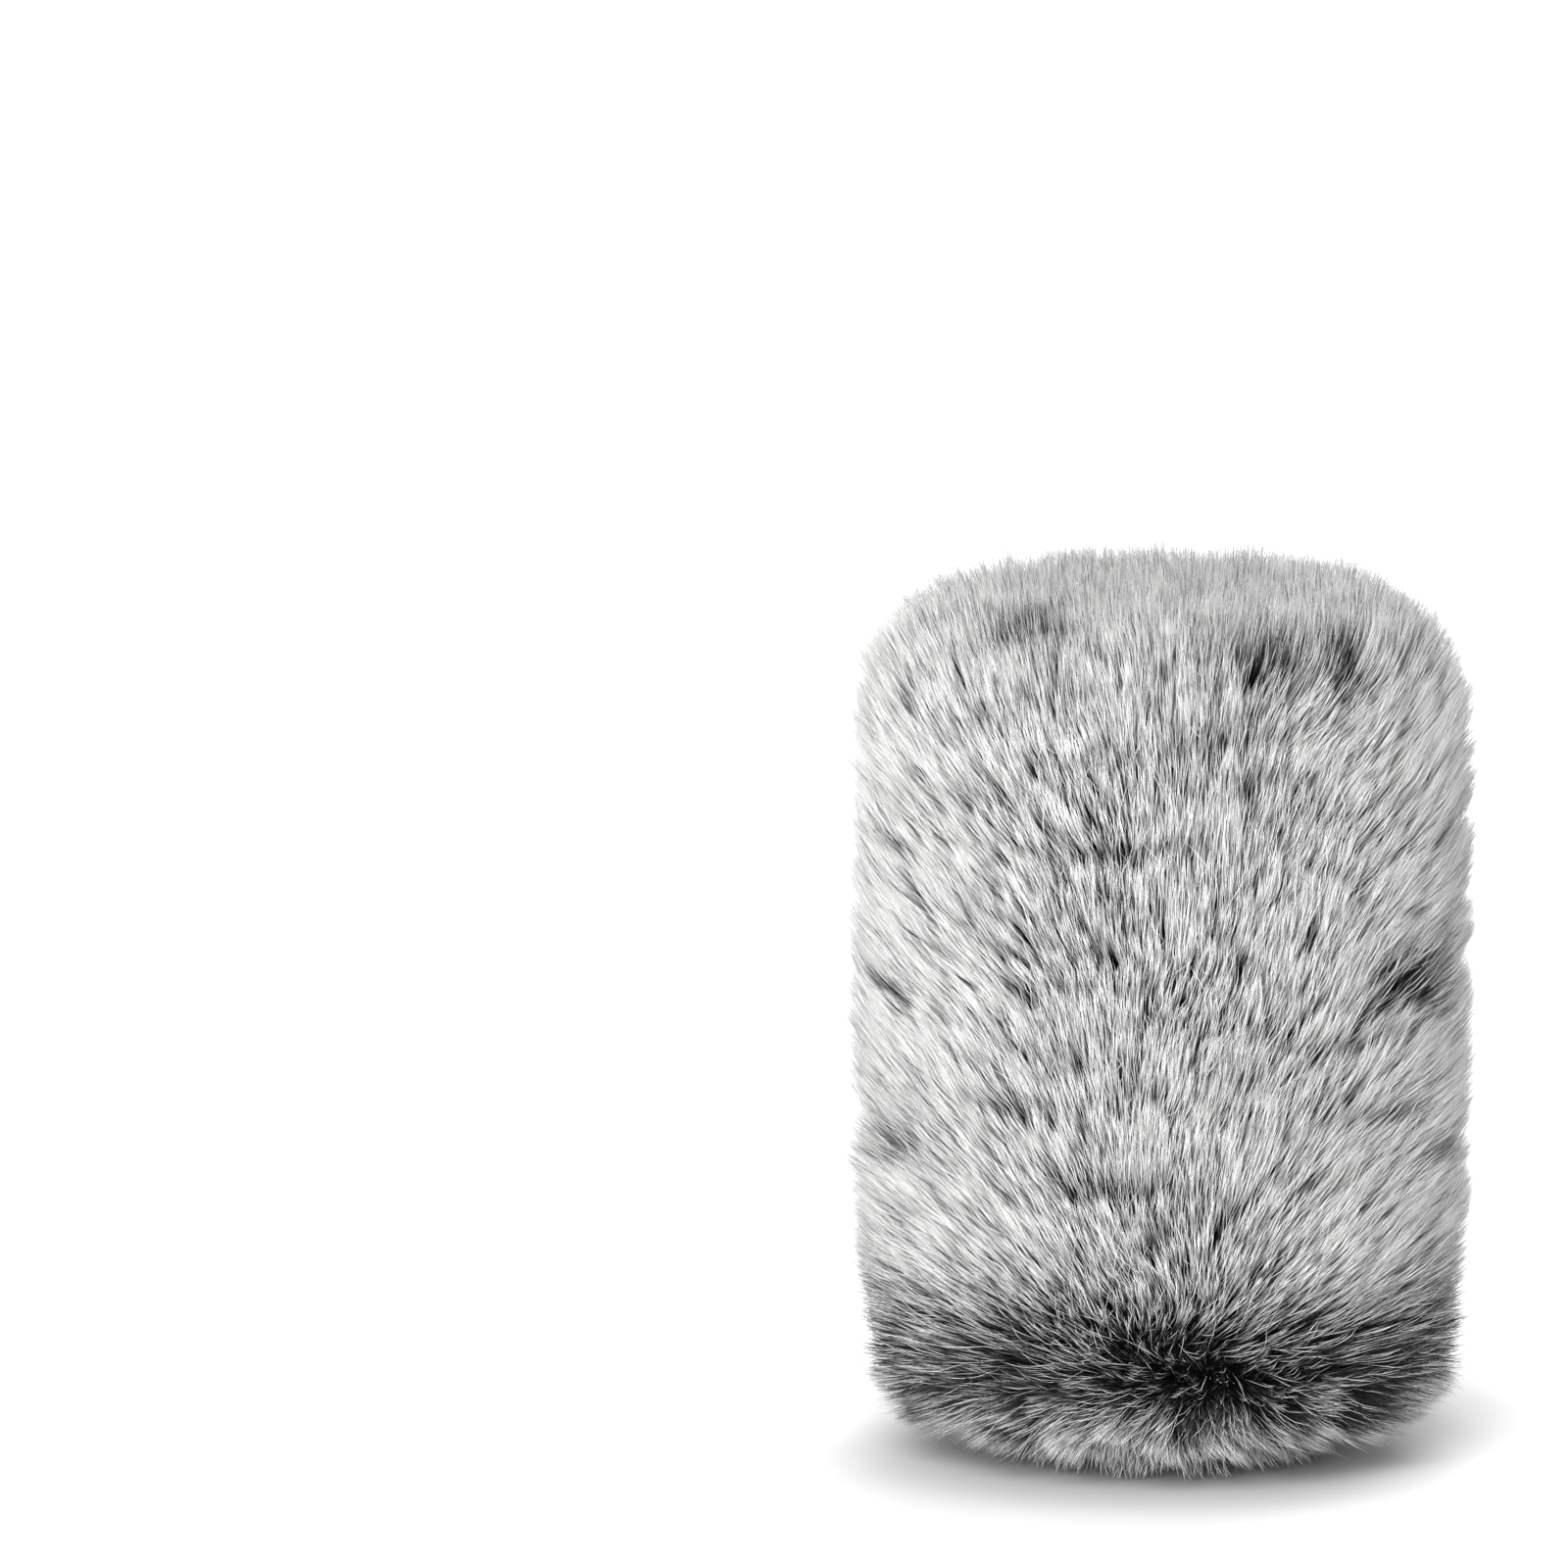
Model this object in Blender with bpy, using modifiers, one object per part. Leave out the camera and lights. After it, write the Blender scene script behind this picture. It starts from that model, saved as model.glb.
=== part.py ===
"""Furry windscreen for a hand-held microphone: a foam core sewn into a fake-fur cover.

Metres, +Z up. The windscreen stands on the pile round its neck, with the microphone's
way in at the bottom, and the origin is the middle of that resting face. The cover's
closing seam runs up the back, at +Y.
"""

import math

import bmesh
import bpy
from mathutils import Vector

MM = 0.001

# The microphone and the foam that grips it
MIC_DIAMETER = 21.6 * MM
BORE_SQUEEZE = 1.0 * MM
FOAM_WALL = 9.7 * MM
FOAM_LENGTH = 64.0 * MM
FOAM_NOSE = 12.0 * MM
FOAM_SHOULDER = 5.0 * MM
FOAM_FOOT = 2.5 * MM
BORE_LEAD = 1.2 * MM
BORE_END_ROUND = 2.0 * MM

# The cover: a knitted backing with pile standing on it
BACKING = 1.0 * MM
SIDE_PILE = 10.2 * MM
BASE_PILE = 9.0 * MM
CROWN_SLOPE = math.radians(10.0)
SEAM_ANGLE = math.radians(45.0)
PILE_FOOT = 11.0 * MM
SEAM_ALLOWANCE = 1.5 * MM
SLIT_WIDTH = 1.2 * MM

# The neck: pile turned down round a bound edge with elastic in it
NECK_DROP = 2.0 * MM
NECK_PILE = 4.5 * MM
NECK_EDGE_ROUND = 0.8 * MM
BINDING_WALL = 0.8 * MM
BINDING_FLOOR = 3.5 * MM
BINDING_LIFT = 1.0 * MM
ELASTIC_THICKNESS = 0.5 * MM
ELASTIC_WIDTH = 5.0 * MM

THREAD_RADIUS = 0.3 * MM
HEM_THREAD_RADIUS = 0.25 * MM

# What touches keeps this much room, and round pieces have this many sides
FIT = 0.3 * MM
SIDES = 48
THREAD_SIDES = 6
ARC_STEP = math.radians(12.0)

# Radii, from the microphone outwards
BORE_RADIUS = (MIC_DIAMETER - BORE_SQUEEZE) / 2
FOAM_RADIUS = BORE_RADIUS + FOAM_WALL
LINING_RADIUS = FOAM_RADIUS + FIT
BACK_RADIUS = LINING_RADIUS + BACKING
FUR_RADIUS = BACK_RADIUS + SIDE_PILE
BINDING_RADIUS = BORE_RADIUS + 2 * BINDING_WALL + ELASTIC_THICKNESS + 2 * FIT
NECK_RADIUS = BINDING_RADIUS + FIT

# Heights, from the resting face upwards
BASE_FUR_Z = NECK_DROP
BASE_BACK_Z = BASE_FUR_Z + BASE_PILE
BASE_TOP_Z = BASE_BACK_Z + BACKING
FOAM_Z = BASE_TOP_Z + FIT
FOAM_TOP_Z = FOAM_Z + FOAM_LENGTH
BORE_END_Z = FOAM_TOP_Z - FOAM_NOSE
CROWN_Z = FOAM_TOP_Z + FIT
BINDING_TOP_Z = FOAM_Z - FIT
ELASTIC_Z = BINDING_LIFT + BINDING_FLOOR + FIT

# The round shoulder that the foam, the backing and the pile share: centre and radii
SHOULDER_CENTRE = (FOAM_RADIUS - FOAM_SHOULDER, FOAM_TOP_Z - FOAM_SHOULDER)
LINING_SHOULDER = FOAM_SHOULDER + FIT
BACK_SHOULDER = LINING_SHOULDER + BACKING
FUR_SHOULDER = BACK_SHOULDER + SIDE_PILE
FOOT_CENTRE = (FUR_RADIUS - PILE_FOOT, BASE_FUR_Z + PILE_FOOT)


def clear_scene():
    """Remove everything that the file opened with."""
    for ob in list(bpy.data.objects):
        bpy.data.objects.remove(ob, do_unlink=True)


def collection(name):
    """A new collection in the scene."""
    made = bpy.data.collections.new(name)
    bpy.context.scene.collection.children.link(made)
    return made


def material(name, colour, roughness, metallic=0.0):
    """A plain material of one colour."""
    made = bpy.data.materials.new(name)
    made.use_nodes = True
    shader = made.node_tree.nodes["Principled BSDF"]
    shader.inputs["Base Color"].default_value = (*colour, 1.0)
    shader.inputs["Roughness"].default_value = roughness
    shader.inputs["Metallic"].default_value = metallic
    made.diffuse_color = (*colour, 1.0)
    return made


def arc(centre, radius, start, end):
    """Points (radius, height) along an arc, both ends included."""
    steps = max(2, math.ceil(abs(end - start) / ARC_STEP))
    angles = [start + (end - start) * i / steps for i in range(steps + 1)]
    return [(centre[0] + radius * math.cos(a), centre[1] + radius * math.sin(a)) for a in angles]


def polar(centre, radius, angle):
    """One point at an angle round a centre."""
    return (centre[0] + radius * math.cos(angle), centre[1] + radius * math.sin(angle))


def turned(name, points, finish, group, closed):
    """A solid turned round Z from points (radius, height) that run down its outer side."""
    mesh = bpy.data.meshes.new(name)
    edges = [(i, i + 1) for i in range(len(points) - 1)]
    if closed:
        edges.append((len(points) - 1, 0))
    mesh.from_pydata([(r, 0.0, z) for r, z in points], edges, [])
    ob = bpy.data.objects.new(name, mesh)
    group.objects.link(ob)
    mesh.materials.append(finish)
    screw = ob.modifiers.new("Turn", "SCREW")
    screw.axis = "Z"
    screw.angle = math.tau
    screw.steps = SIDES
    screw.render_steps = SIDES
    screw.use_merge_vertices = True
    screw.merge_threshold = 1e-6
    screw.use_smooth_shade = True
    return ob


def thread_ring(name, radius, height, thickness, finish, group):
    """One closed run of sewing thread round the axis."""
    angles = [math.tau * i / THREAD_SIDES for i in range(THREAD_SIDES)]
    points = [(radius + thickness * math.cos(a), height - thickness * math.sin(a)) for a in angles]
    return turned(name, points, finish, group, closed=True)


def foam_core(finish, group):
    """The open-cell foam sleeve: a blind bore up the middle and a round nose."""
    foot_centre = (FOAM_RADIUS - FOAM_FOOT, FOAM_Z + FOAM_FOOT)
    bore_end_centre = (BORE_RADIUS - BORE_END_ROUND, BORE_END_Z - BORE_END_ROUND)
    points = [(0.0, FOAM_TOP_Z)]
    points += arc(SHOULDER_CENTRE, FOAM_SHOULDER, math.pi / 2, 0.0)
    points += arc(foot_centre, FOAM_FOOT, 0.0, -math.pi / 2)
    points.append((BORE_RADIUS + BORE_LEAD, FOAM_Z))
    points.append((BORE_RADIUS, FOAM_Z + BORE_LEAD))
    points += arc(bore_end_centre, BORE_END_ROUND, 0.0, math.pi / 2)
    points.append((0.0, BORE_END_Z))
    return turned("foam_core", points, finish, group, closed=False)


def side_panel(finish, group, cutters):
    """The long fur panel, wrapped round the foam with its two edges meeting at the back."""
    gap_angle = FIT / 2 / FUR_SHOULDER
    foot_gap_angle = FIT / 2 / PILE_FOOT
    groove_angle = SEAM_ALLOWANCE / LINING_SHOULDER
    edge_angle = SEAM_ANGLE - FIT / 2 / BACK_SHOULDER
    points = arc(SHOULDER_CENTRE, FUR_SHOULDER, SEAM_ANGLE - gap_angle, 0.0)
    points += arc(FOOT_CENTRE, PILE_FOOT, 0.0, -SEAM_ANGLE + foot_gap_angle)
    points.append((LINING_RADIUS, BASE_BACK_Z + BACKING + FIT))
    points += arc(SHOULDER_CENTRE, LINING_SHOULDER, 0.0, SEAM_ANGLE - groove_angle)
    points.append(polar(SHOULDER_CENTRE, BACK_SHOULDER, edge_angle))
    panel = turned("fur_side_panel", points, finish, group, closed=True)
    height = 2 * (FOAM_TOP_Z + FUR_SHOULDER)
    slit = cutter("slit_cutter", (SLIT_WIDTH, FUR_RADIUS, height), (0.0, FUR_RADIUS, 0.0), cutters)
    cut = panel.modifiers.new("Back slit", "BOOLEAN")
    cut.operation = "DIFFERENCE"
    cut.solver = "EXACT"
    cut.object = slit
    return panel


def cutter(name, size, centre, group):
    """A box that cuts other pieces and isn't one itself."""
    mesh = bpy.data.meshes.new(name)
    shape = bmesh.new()
    bmesh.ops.create_cube(shape, size=1.0)
    bmesh.ops.scale(shape, vec=Vector(size), verts=shape.verts)
    shape.to_mesh(mesh)
    shape.free()
    ob = bpy.data.objects.new(name, mesh)
    ob.location = centre
    ob.hide_render = True
    ob.display_type = "WIRE"
    group.objects.link(ob)
    return ob


def crown_panel(finish, group):
    """The round fur panel that closes the top, a shallow dome that runs into the shoulder."""
    gap_angle = FIT / 2 / FUR_SHOULDER
    groove_angle = SEAM_ALLOWANCE / LINING_SHOULDER
    edge_angle = SEAM_ANGLE + FIT / 2 / BACK_SHOULDER
    join_angle = math.pi / 2 - CROWN_SLOPE
    join_radius, join_z = polar(SHOULDER_CENTRE, FUR_SHOULDER, join_angle)
    dome_radius = join_radius / math.sin(CROWN_SLOPE)
    dome_centre = (0.0, join_z - dome_radius * math.cos(CROWN_SLOPE))
    dome = arc(dome_centre, dome_radius, math.pi / 2, join_angle)
    points = [(0.0, dome[0][1])]
    points += dome[1:-1]
    points += arc(SHOULDER_CENTRE, FUR_SHOULDER, join_angle, SEAM_ANGLE + gap_angle)
    points.append(polar(SHOULDER_CENTRE, BACK_SHOULDER, edge_angle))
    points += arc(SHOULDER_CENTRE, LINING_SHOULDER, SEAM_ANGLE + groove_angle, math.pi / 2)
    points.append((0.0, CROWN_Z))
    return turned("fur_crown_panel", points, finish, group, closed=False)


def base_panel(finish, group):
    """The fur ring that closes the bottom, with its pile turned down round the neck."""
    foot_gap_angle = FIT / 2 / PILE_FOOT
    fringe_radius = NECK_RADIUS + NECK_PILE
    points = [(LINING_RADIUS, BASE_TOP_Z)]
    points += arc(FOOT_CENTRE, PILE_FOOT, -SEAM_ANGLE - foot_gap_angle, -math.pi / 2)
    points.append((fringe_radius, BASE_FUR_Z))
    points.append((fringe_radius, NECK_EDGE_ROUND))
    points.append((fringe_radius - NECK_EDGE_ROUND, 0.0))
    points.append((NECK_RADIUS + NECK_EDGE_ROUND, 0.0))
    points.append((NECK_RADIUS, NECK_EDGE_ROUND))
    points.append((NECK_RADIUS, BASE_TOP_Z))
    return turned("fur_base_panel", points, finish, group, closed=True)


def neck_binding(finish, group):
    """The folded tape round the neck, open at its top where the elastic goes in."""
    inner_channel = BORE_RADIUS + BINDING_WALL
    outer_channel = BINDING_RADIUS - BINDING_WALL
    channel_z = BINDING_LIFT + BINDING_FLOOR
    round_off = BINDING_WALL / 2
    points = [(outer_channel, BINDING_TOP_Z), (BINDING_RADIUS, BINDING_TOP_Z)]
    points.append((BINDING_RADIUS, BINDING_LIFT + round_off))
    points.append((BINDING_RADIUS - round_off, BINDING_LIFT))
    points.append((BORE_RADIUS + round_off, BINDING_LIFT))
    points.append((BORE_RADIUS, BINDING_LIFT + round_off))
    points.append((BORE_RADIUS, BINDING_TOP_Z))
    points.append((inner_channel, BINDING_TOP_Z))
    points.append((inner_channel, channel_z))
    points.append((outer_channel, channel_z))
    return turned("neck_binding", points, finish, group, closed=True)


def neck_elastic(finish, group):
    """The flat elastic band inside the binding, which grips the microphone."""
    inner = BORE_RADIUS + BINDING_WALL + FIT
    outer = inner + ELASTIC_THICKNESS
    top = ELASTIC_Z + ELASTIC_WIDTH
    points = [(inner, top), (outer, top), (outer, ELASTIC_Z), (inner, ELASTIC_Z)]
    return turned("neck_elastic", points, finish, group, closed=True)


def side_seam_thread(finish, group):
    """The stitching that closes the side panel up the back, inside its slit."""
    low = FOAM_Z + FOAM_FOOT
    high = SHOULDER_CENTRE[1] - SEAM_ALLOWANCE
    curve = bpy.data.curves.new("side_seam_thread", "CURVE")
    curve.dimensions = "3D"
    curve.bevel_depth = THREAD_RADIUS
    curve.bevel_resolution = 1
    curve.use_fill_caps = True
    run = curve.splines.new("POLY")
    run.points.add(1)
    for point, z in zip(run.points, (low, high), strict=True):
        point.co = (0.0, LINING_RADIUS + BACKING / 2, z, 1.0)
    curve.materials.append(finish)
    ob = bpy.data.objects.new("side_seam_thread", curve)
    group.objects.link(ob)
    return ob


def crown_seam_thread(finish, group):
    """The stitching between the side and crown panels, in the groove behind their edges."""
    reach = FOAM_SHOULDER + FIT + THREAD_RADIUS
    radius, height = polar(SHOULDER_CENTRE, reach, SEAM_ANGLE)
    return thread_ring("crown_seam_thread", radius, height, THREAD_RADIUS, finish, group)


def base_seam_thread(finish, group):
    """The stitching between the side and base panels, in the room that the foam's foot leaves."""
    radius = LINING_RADIUS - FIT - THREAD_RADIUS
    height = BASE_TOP_Z + FIT + THREAD_RADIUS
    return thread_ring("base_seam_thread", radius, height, THREAD_RADIUS, finish, group)


def hem_seam_thread(finish, group):
    """The stitching that closes the binding over the elastic."""
    radius = (BORE_RADIUS + BINDING_RADIUS) / 2
    height = ELASTIC_Z + ELASTIC_WIDTH + FIT + HEM_THREAD_RADIUS
    return thread_ring("hem_seam_thread", radius, height, HEM_THREAD_RADIUS, finish, group)


def build():
    """Build every piece of the windscreen."""
    clear_scene()
    parts = collection("furry_windscreen")
    cutters = collection("cutters")
    foam = material("open_cell_foam", (0.05, 0.05, 0.055), 0.95)
    fur = material("grey_fur", (0.55, 0.55, 0.55), 0.85)
    tape = material("knit_tape", (0.03, 0.03, 0.03), 0.9)
    rubber = material("elastic_band", (0.04, 0.04, 0.045), 0.8)
    thread = material("sewing_thread", (0.12, 0.12, 0.12), 0.6)
    foam_core(foam, parts)
    side_panel(fur, parts, cutters)
    crown_panel(fur, parts)
    base_panel(fur, parts)
    neck_binding(tape, parts)
    neck_elastic(rubber, parts)
    side_seam_thread(thread, parts)
    crown_seam_thread(thread, parts)
    base_seam_thread(thread, parts)
    hem_seam_thread(thread, parts)


build()
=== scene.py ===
"""Looks for the furry windscreen: combed fake fur over a knitted backing, foam and a bound neck.

Metres, +Z up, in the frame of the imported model. Each hair is a tapered mesh strand rooted
on the backing. A strand carries a place on the fur's shade card: across the card lie the
kinds of hair, from dark underfur to pale guard hair, and up the card runs root to tip.
"""

import logging
import math
from dataclasses import dataclass
from enum import Enum
from typing import Any, Callable, Sequence

import bmesh
import bpy
import numpy as np
from mathutils import Matrix, Vector, kdtree


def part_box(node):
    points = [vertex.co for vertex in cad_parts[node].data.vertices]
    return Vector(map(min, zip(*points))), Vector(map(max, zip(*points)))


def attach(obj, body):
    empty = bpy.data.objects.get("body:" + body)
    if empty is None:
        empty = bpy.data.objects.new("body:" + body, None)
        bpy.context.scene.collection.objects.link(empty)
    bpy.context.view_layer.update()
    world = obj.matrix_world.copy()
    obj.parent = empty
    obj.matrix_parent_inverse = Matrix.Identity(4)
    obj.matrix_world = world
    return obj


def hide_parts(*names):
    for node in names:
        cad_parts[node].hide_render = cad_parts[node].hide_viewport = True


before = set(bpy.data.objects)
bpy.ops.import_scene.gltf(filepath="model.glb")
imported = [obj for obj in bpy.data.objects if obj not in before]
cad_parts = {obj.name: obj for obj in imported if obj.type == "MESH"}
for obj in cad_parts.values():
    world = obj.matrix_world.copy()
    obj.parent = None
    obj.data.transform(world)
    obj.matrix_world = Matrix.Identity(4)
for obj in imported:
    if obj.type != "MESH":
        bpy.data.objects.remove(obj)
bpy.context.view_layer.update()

MM = 0.001
BODY = "root"
SHADE_CARD = "OFBake"
log = logging.getLogger("windscreen")

Array = np.ndarray


# ---------------------------------------------------------------- shader maths


class Wire:
    """A socket's value, which sums like a number."""

    def __init__(self, web: "Web", socket: bpy.types.NodeSocket) -> None:
        """Keep the web that the socket belongs to."""
        self.web = web
        self.socket = socket

    def math(self, operation: str, *values: Any, clamp: bool = False) -> "Wire":
        """Add a Math node.

        Args:
            operation: The node's operation.
            values: Its inputs, as numbers or wires.
            clamp: Whether the result stays from 0 to 1.

        Returns:
            The result.
        """
        settings = {"operation": operation, "use_clamp": clamp}
        return self.web.node("ShaderNodeMath", settings, dict(enumerate(values)))

    def __add__(self, other: Any) -> "Wire":
        """Self plus other."""
        return self.math("ADD", self, other)

    def __radd__(self, other: Any) -> "Wire":
        """Other plus self."""
        return self.math("ADD", other, self)

    def __sub__(self, other: Any) -> "Wire":
        """Self less other."""
        return self.math("SUBTRACT", self, other)

    def __rsub__(self, other: Any) -> "Wire":
        """Other less self."""
        return self.math("SUBTRACT", other, self)

    def __mul__(self, other: Any) -> "Wire":
        """Self times other."""
        return self.math("MULTIPLY", self, other)

    def __rmul__(self, other: Any) -> "Wire":
        """Other times self."""
        return self.math("MULTIPLY", other, self)

    def floor(self) -> "Wire":
        """The whole number at or below."""
        return self.math("FLOOR", self)

    def clamped(self) -> "Wire":
        """The value held from 0 to 1."""
        return self.math("ADD", self, 0.0, clamp=True)

    def between(self, low: Any, high: Any) -> "Wire":
        """A smooth step.

        Args:
            low: Where the step starts.
            high: Where it ends.

        Returns:
            0 below low, 1 above high and a smooth rise between.
        """
        return self.web.node("ShaderNodeMapRange", {"interpolation_type": "SMOOTHSTEP"},
                             {"Value": self, "From Min": low, "From Max": high})


class Web:
    """One material's nodes, ending in its Principled shader."""

    def __init__(self, name: str) -> None:
        """Start a material with its shader and nothing else."""
        self.material = bpy.data.materials.new(name)
        self.material.use_nodes = True
        self.tree = self.material.node_tree
        self.shader = self.tree.nodes["Principled BSDF"]

    def node(self, kind: str, settings: dict[str, Any] | None = None,
             values: dict[Any, Any] | None = None, output: Any = 0) -> Wire:
        """Add any node.

        Args:
            kind: The node's type.
            settings: Its properties, set first. A ramp's stops come as "stops".
            values: Its inputs by name or place, as numbers, colours or wires.
            output: The name or place of the output that is wanted.

        Returns:
            That output.
        """
        made = self.tree.nodes.new(kind)
        for key, value in (settings or {}).items():
            if key == "stops":
                self._stops(made.color_ramp, value)
            else:
                setattr(made, key, value)
        for key, value in (values or {}).items():
            if isinstance(value, Wire):
                self.tree.links.new(value.socket, made.inputs[key])
            else:
                made.inputs[key].default_value = value
        return Wire(self, made.outputs[output])

    @staticmethod
    def _stops(ramp: bpy.types.ColorRamp, stops: Sequence[tuple[float, float]]) -> None:
        """Set a grey ramp's stops, given as (place, grey)."""
        while len(ramp.elements) < len(stops):
            ramp.elements.new(0.5)
        for element, (place, grey) in zip(ramp.elements, stops, strict=True):
            element.position = place
            element.color = (grey, grey, grey, 1.0)

    def place(self) -> Wire:
        """Where on the piece, in metres."""
        return self.node("ShaderNodeTexCoord", output="Object")

    def noise(self, scale: float, detail: float) -> Wire:
        """Soft noise about 0.5, from its lumps per metre and its octaves."""
        values = {"Vector": self.place(), "Scale": scale, "Detail": detail}
        return self.node("ShaderNodeTexNoise", None, values)

    def axis(self, vector: Wire, place: int) -> Wire:
        """One number of a vector: 0 for x, 1 for y, 2 for z."""
        return self.node("ShaderNodeSeparateXYZ", None, {0: vector}, output=place)

    def blend(self, factor: Any, low: Any, high: Any) -> Wire:
        """Mix two colours.

        Args:
            factor: 0 for the first, 1 for the second.
            low: The first colour.
            high: The second colour.

        Returns:
            The colour between.
        """
        return self.node("ShaderNodeMix", {"data_type": "RGBA"}, {0: factor, 6: low, 7: high}, output=2)

    def bump(self, height: Wire, distance: float) -> Wire:
        """A bumped normal from a height from 0 to 1 over a distance in metres."""
        return self.node("ShaderNodeBump", None, {"Height": height, "Distance": distance})

    def wear(self, **links: Any) -> bpy.types.Material:
        """Feed the shader.

        Args:
            links: Its inputs, with underscores for spaces.

        Returns:
            The finished material.
        """
        for key, value in links.items():
            socket = self.shader.inputs[key.replace("_", " ")]
            if isinstance(value, Wire):
                self.tree.links.new(value.socket, socket)
            else:
                socket.default_value = value
        return self.material


def grey(level: float, warm: float = 0.0) -> tuple[float, float, float, float]:
    """A grey, a little warm or cool.

    Args:
        level: Its linear brightness.
        warm: How much red it gains and blue it loses.

    Returns:
        The colour.
    """
    return (level * (1 + warm), level, level * (1 - warm), 1.0)


# ---------------------------------------------------------------- finishes


@dataclass(frozen=True)
class FurFinish:
    """The shade card: dark roots, pale tips and a different hair in every column."""

    columns: int = 128
    root: float = 0.009
    fade: float = 0.15
    roughness: float = 0.62
    smoother_tip: float = 0.14
    uneven_reach: float = 0.16
    uneven_shade: float = 0.3
    warmth: float = 0.006
    tips: tuple[tuple[float, float], ...] = ((0.0, 0.06), (0.25, 0.2), (0.4, 0.42), (0.7, 0.6), (1.0, 0.74))
    turns: tuple[tuple[float, float], ...] = ((0.0, 0.86), (0.25, 0.7), (0.45, 0.52), (1.0, 0.4))

    def make(self) -> bpy.types.Material:
        """Build the material, which reads only the strand's place on the card."""
        web = Web("grey_fur")
        card = web.node("ShaderNodeUVMap", {"uv_map": SHADE_CARD})
        across = web.axis(card, 0)
        along = web.axis(card, 1)
        column = (across * self.columns).floor()
        luck = self._luck(web, column, 1.37, 0.5)
        reach = self._luck(web, column, 2.11, 7.3)
        tip = web.node("ShaderNodeValToRGB", {"stops": self.tips}, {"Fac": across})
        turn = web.node("ShaderNodeValToRGB", {"stops": self.turns}, {"Fac": across})
        start = turn + (reach - 0.5) * self.uneven_reach
        pale = along.between(start - self.fade, start + self.fade)
        spread = 1 + (luck - 0.5) * self.uneven_shade
        shade = web.blend((tip * spread).clamped(), grey(0.0), grey(1.0, self.warmth))
        colour = web.blend(pale, grey(self.root, 0.01), shade)
        rough = self.roughness - pale * self.smoother_tip
        return web.wear(Base_Color=colour, Roughness=rough, Specular_IOR_Level=0.28)

    @staticmethod
    def _luck(web: Web, column: Wire, step: float, start: float) -> Wire:
        """A number from 0 to 1 that each column draws once."""
        return web.node("ShaderNodeTexWhiteNoise", {"noise_dimensions": "1D"}, {"W": column * step + start})


@dataclass(frozen=True)
class KnitFinish:
    """Knitted cloth: rows of small loops."""

    name: str
    level: float
    around: int = 140
    course: float = 0.7 * MM

    def make(self) -> bpy.types.Material:
        """Build the material, with its loops laid round the axis and up it."""
        web = Web(self.name)
        place = web.place()
        x, y, z = (web.axis(place, i) for i in range(3))
        turn = x.math("ARCTAN2", y, x) * self.around
        loops = turn.math("SINE", turn) * 0.5 + 0.5
        rows = turn.math("SINE", z * (math.tau / self.course) + loops * 1.6) * 0.5 + 0.5
        fuzz = web.noise(2600.0, 3.0)
        height = loops * 0.5 + rows * 0.35 + fuzz * 0.3
        # Painted shade: the colour follows the relief, darker in the hollows between loops and rows, with
        # fuzz that varies at random.
        colour = web.blend(height, grey(self.level * 0.45), grey(self.level * 1.5))
        return web.wear(Base_Color=colour, Roughness=0.95 - rows * 0.12, Normal=web.bump(height, 0.2 * MM),
                        Specular_IOR_Level=0.2)


@dataclass(frozen=True)
class FoamFinish:
    """Charcoal open-cell foam: small cells between fine webs, the cells darkened with painted shade."""

    level: float = 0.042
    cell: float = 0.55 * MM

    def make(self) -> bpy.types.Material:
        """Build the material from two sizes of cell."""
        web = Web("open_cell_foam")
        place = web.place()
        cells = self._cells(web, place, self.cell)
        pores = self._cells(web, place, self.cell * 0.45)
        webs = (cells * 0.7 + pores * 0.3).clamped()
        cloud = web.noise(160.0, 3.0)
        # Painted shade: the cells, which the bump sinks, are coloured darker than the webs; the cloud varies
        # the tone at random.
        colour = web.blend(webs * (0.7 + cloud * 0.5), grey(self.level * 0.18), grey(self.level * 1.9, -0.02))
        return web.wear(Base_Color=colour, Roughness=0.98 - webs * 0.16, Normal=web.bump(webs, 0.25 * MM),
                        Specular_IOR_Level=0.25)

    @staticmethod
    def _cells(web: Web, place: Wire, size: float) -> Wire:
        """0 in the middle of a cell and 1 on the webs between."""
        edge = web.node("ShaderNodeTexVoronoi", {"feature": "DISTANCE_TO_EDGE"},
                        {"Vector": place, "Scale": 1.0 / size})
        return 1 - edge.between(0.02, 0.3)


@dataclass(frozen=True)
class ThreadFinish:
    """Twisted sewing thread or braided elastic: slanting plies."""

    name: str
    level: float
    pitch: float = 0.8 * MM

    def make(self) -> bpy.types.Material:
        """Build the material from slanting bands and a little fuzz."""
        web = Web(self.name)
        values = {"Vector": web.place(), "Scale": 0.5 / self.pitch, "Distortion": 1.2, "Detail": 2.0}
        bands = web.node("ShaderNodeTexWave", {"wave_type": "BANDS", "bands_direction": "DIAGONAL"},
                         values, output="Fac")
        fuzz = web.noise(3000.0, 2.0)
        height = bands * 0.7 + fuzz * 0.3
        # Painted shade: the colour follows the relief, darker in the grooves between plies, with fuzz that
        # varies at random.
        colour = web.blend(height, grey(self.level * 0.5), grey(self.level * 1.6))
        return web.wear(Base_Color=colour, Roughness=0.62 + fuzz * 0.2, Normal=web.bump(height, 0.08 * MM))


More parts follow.
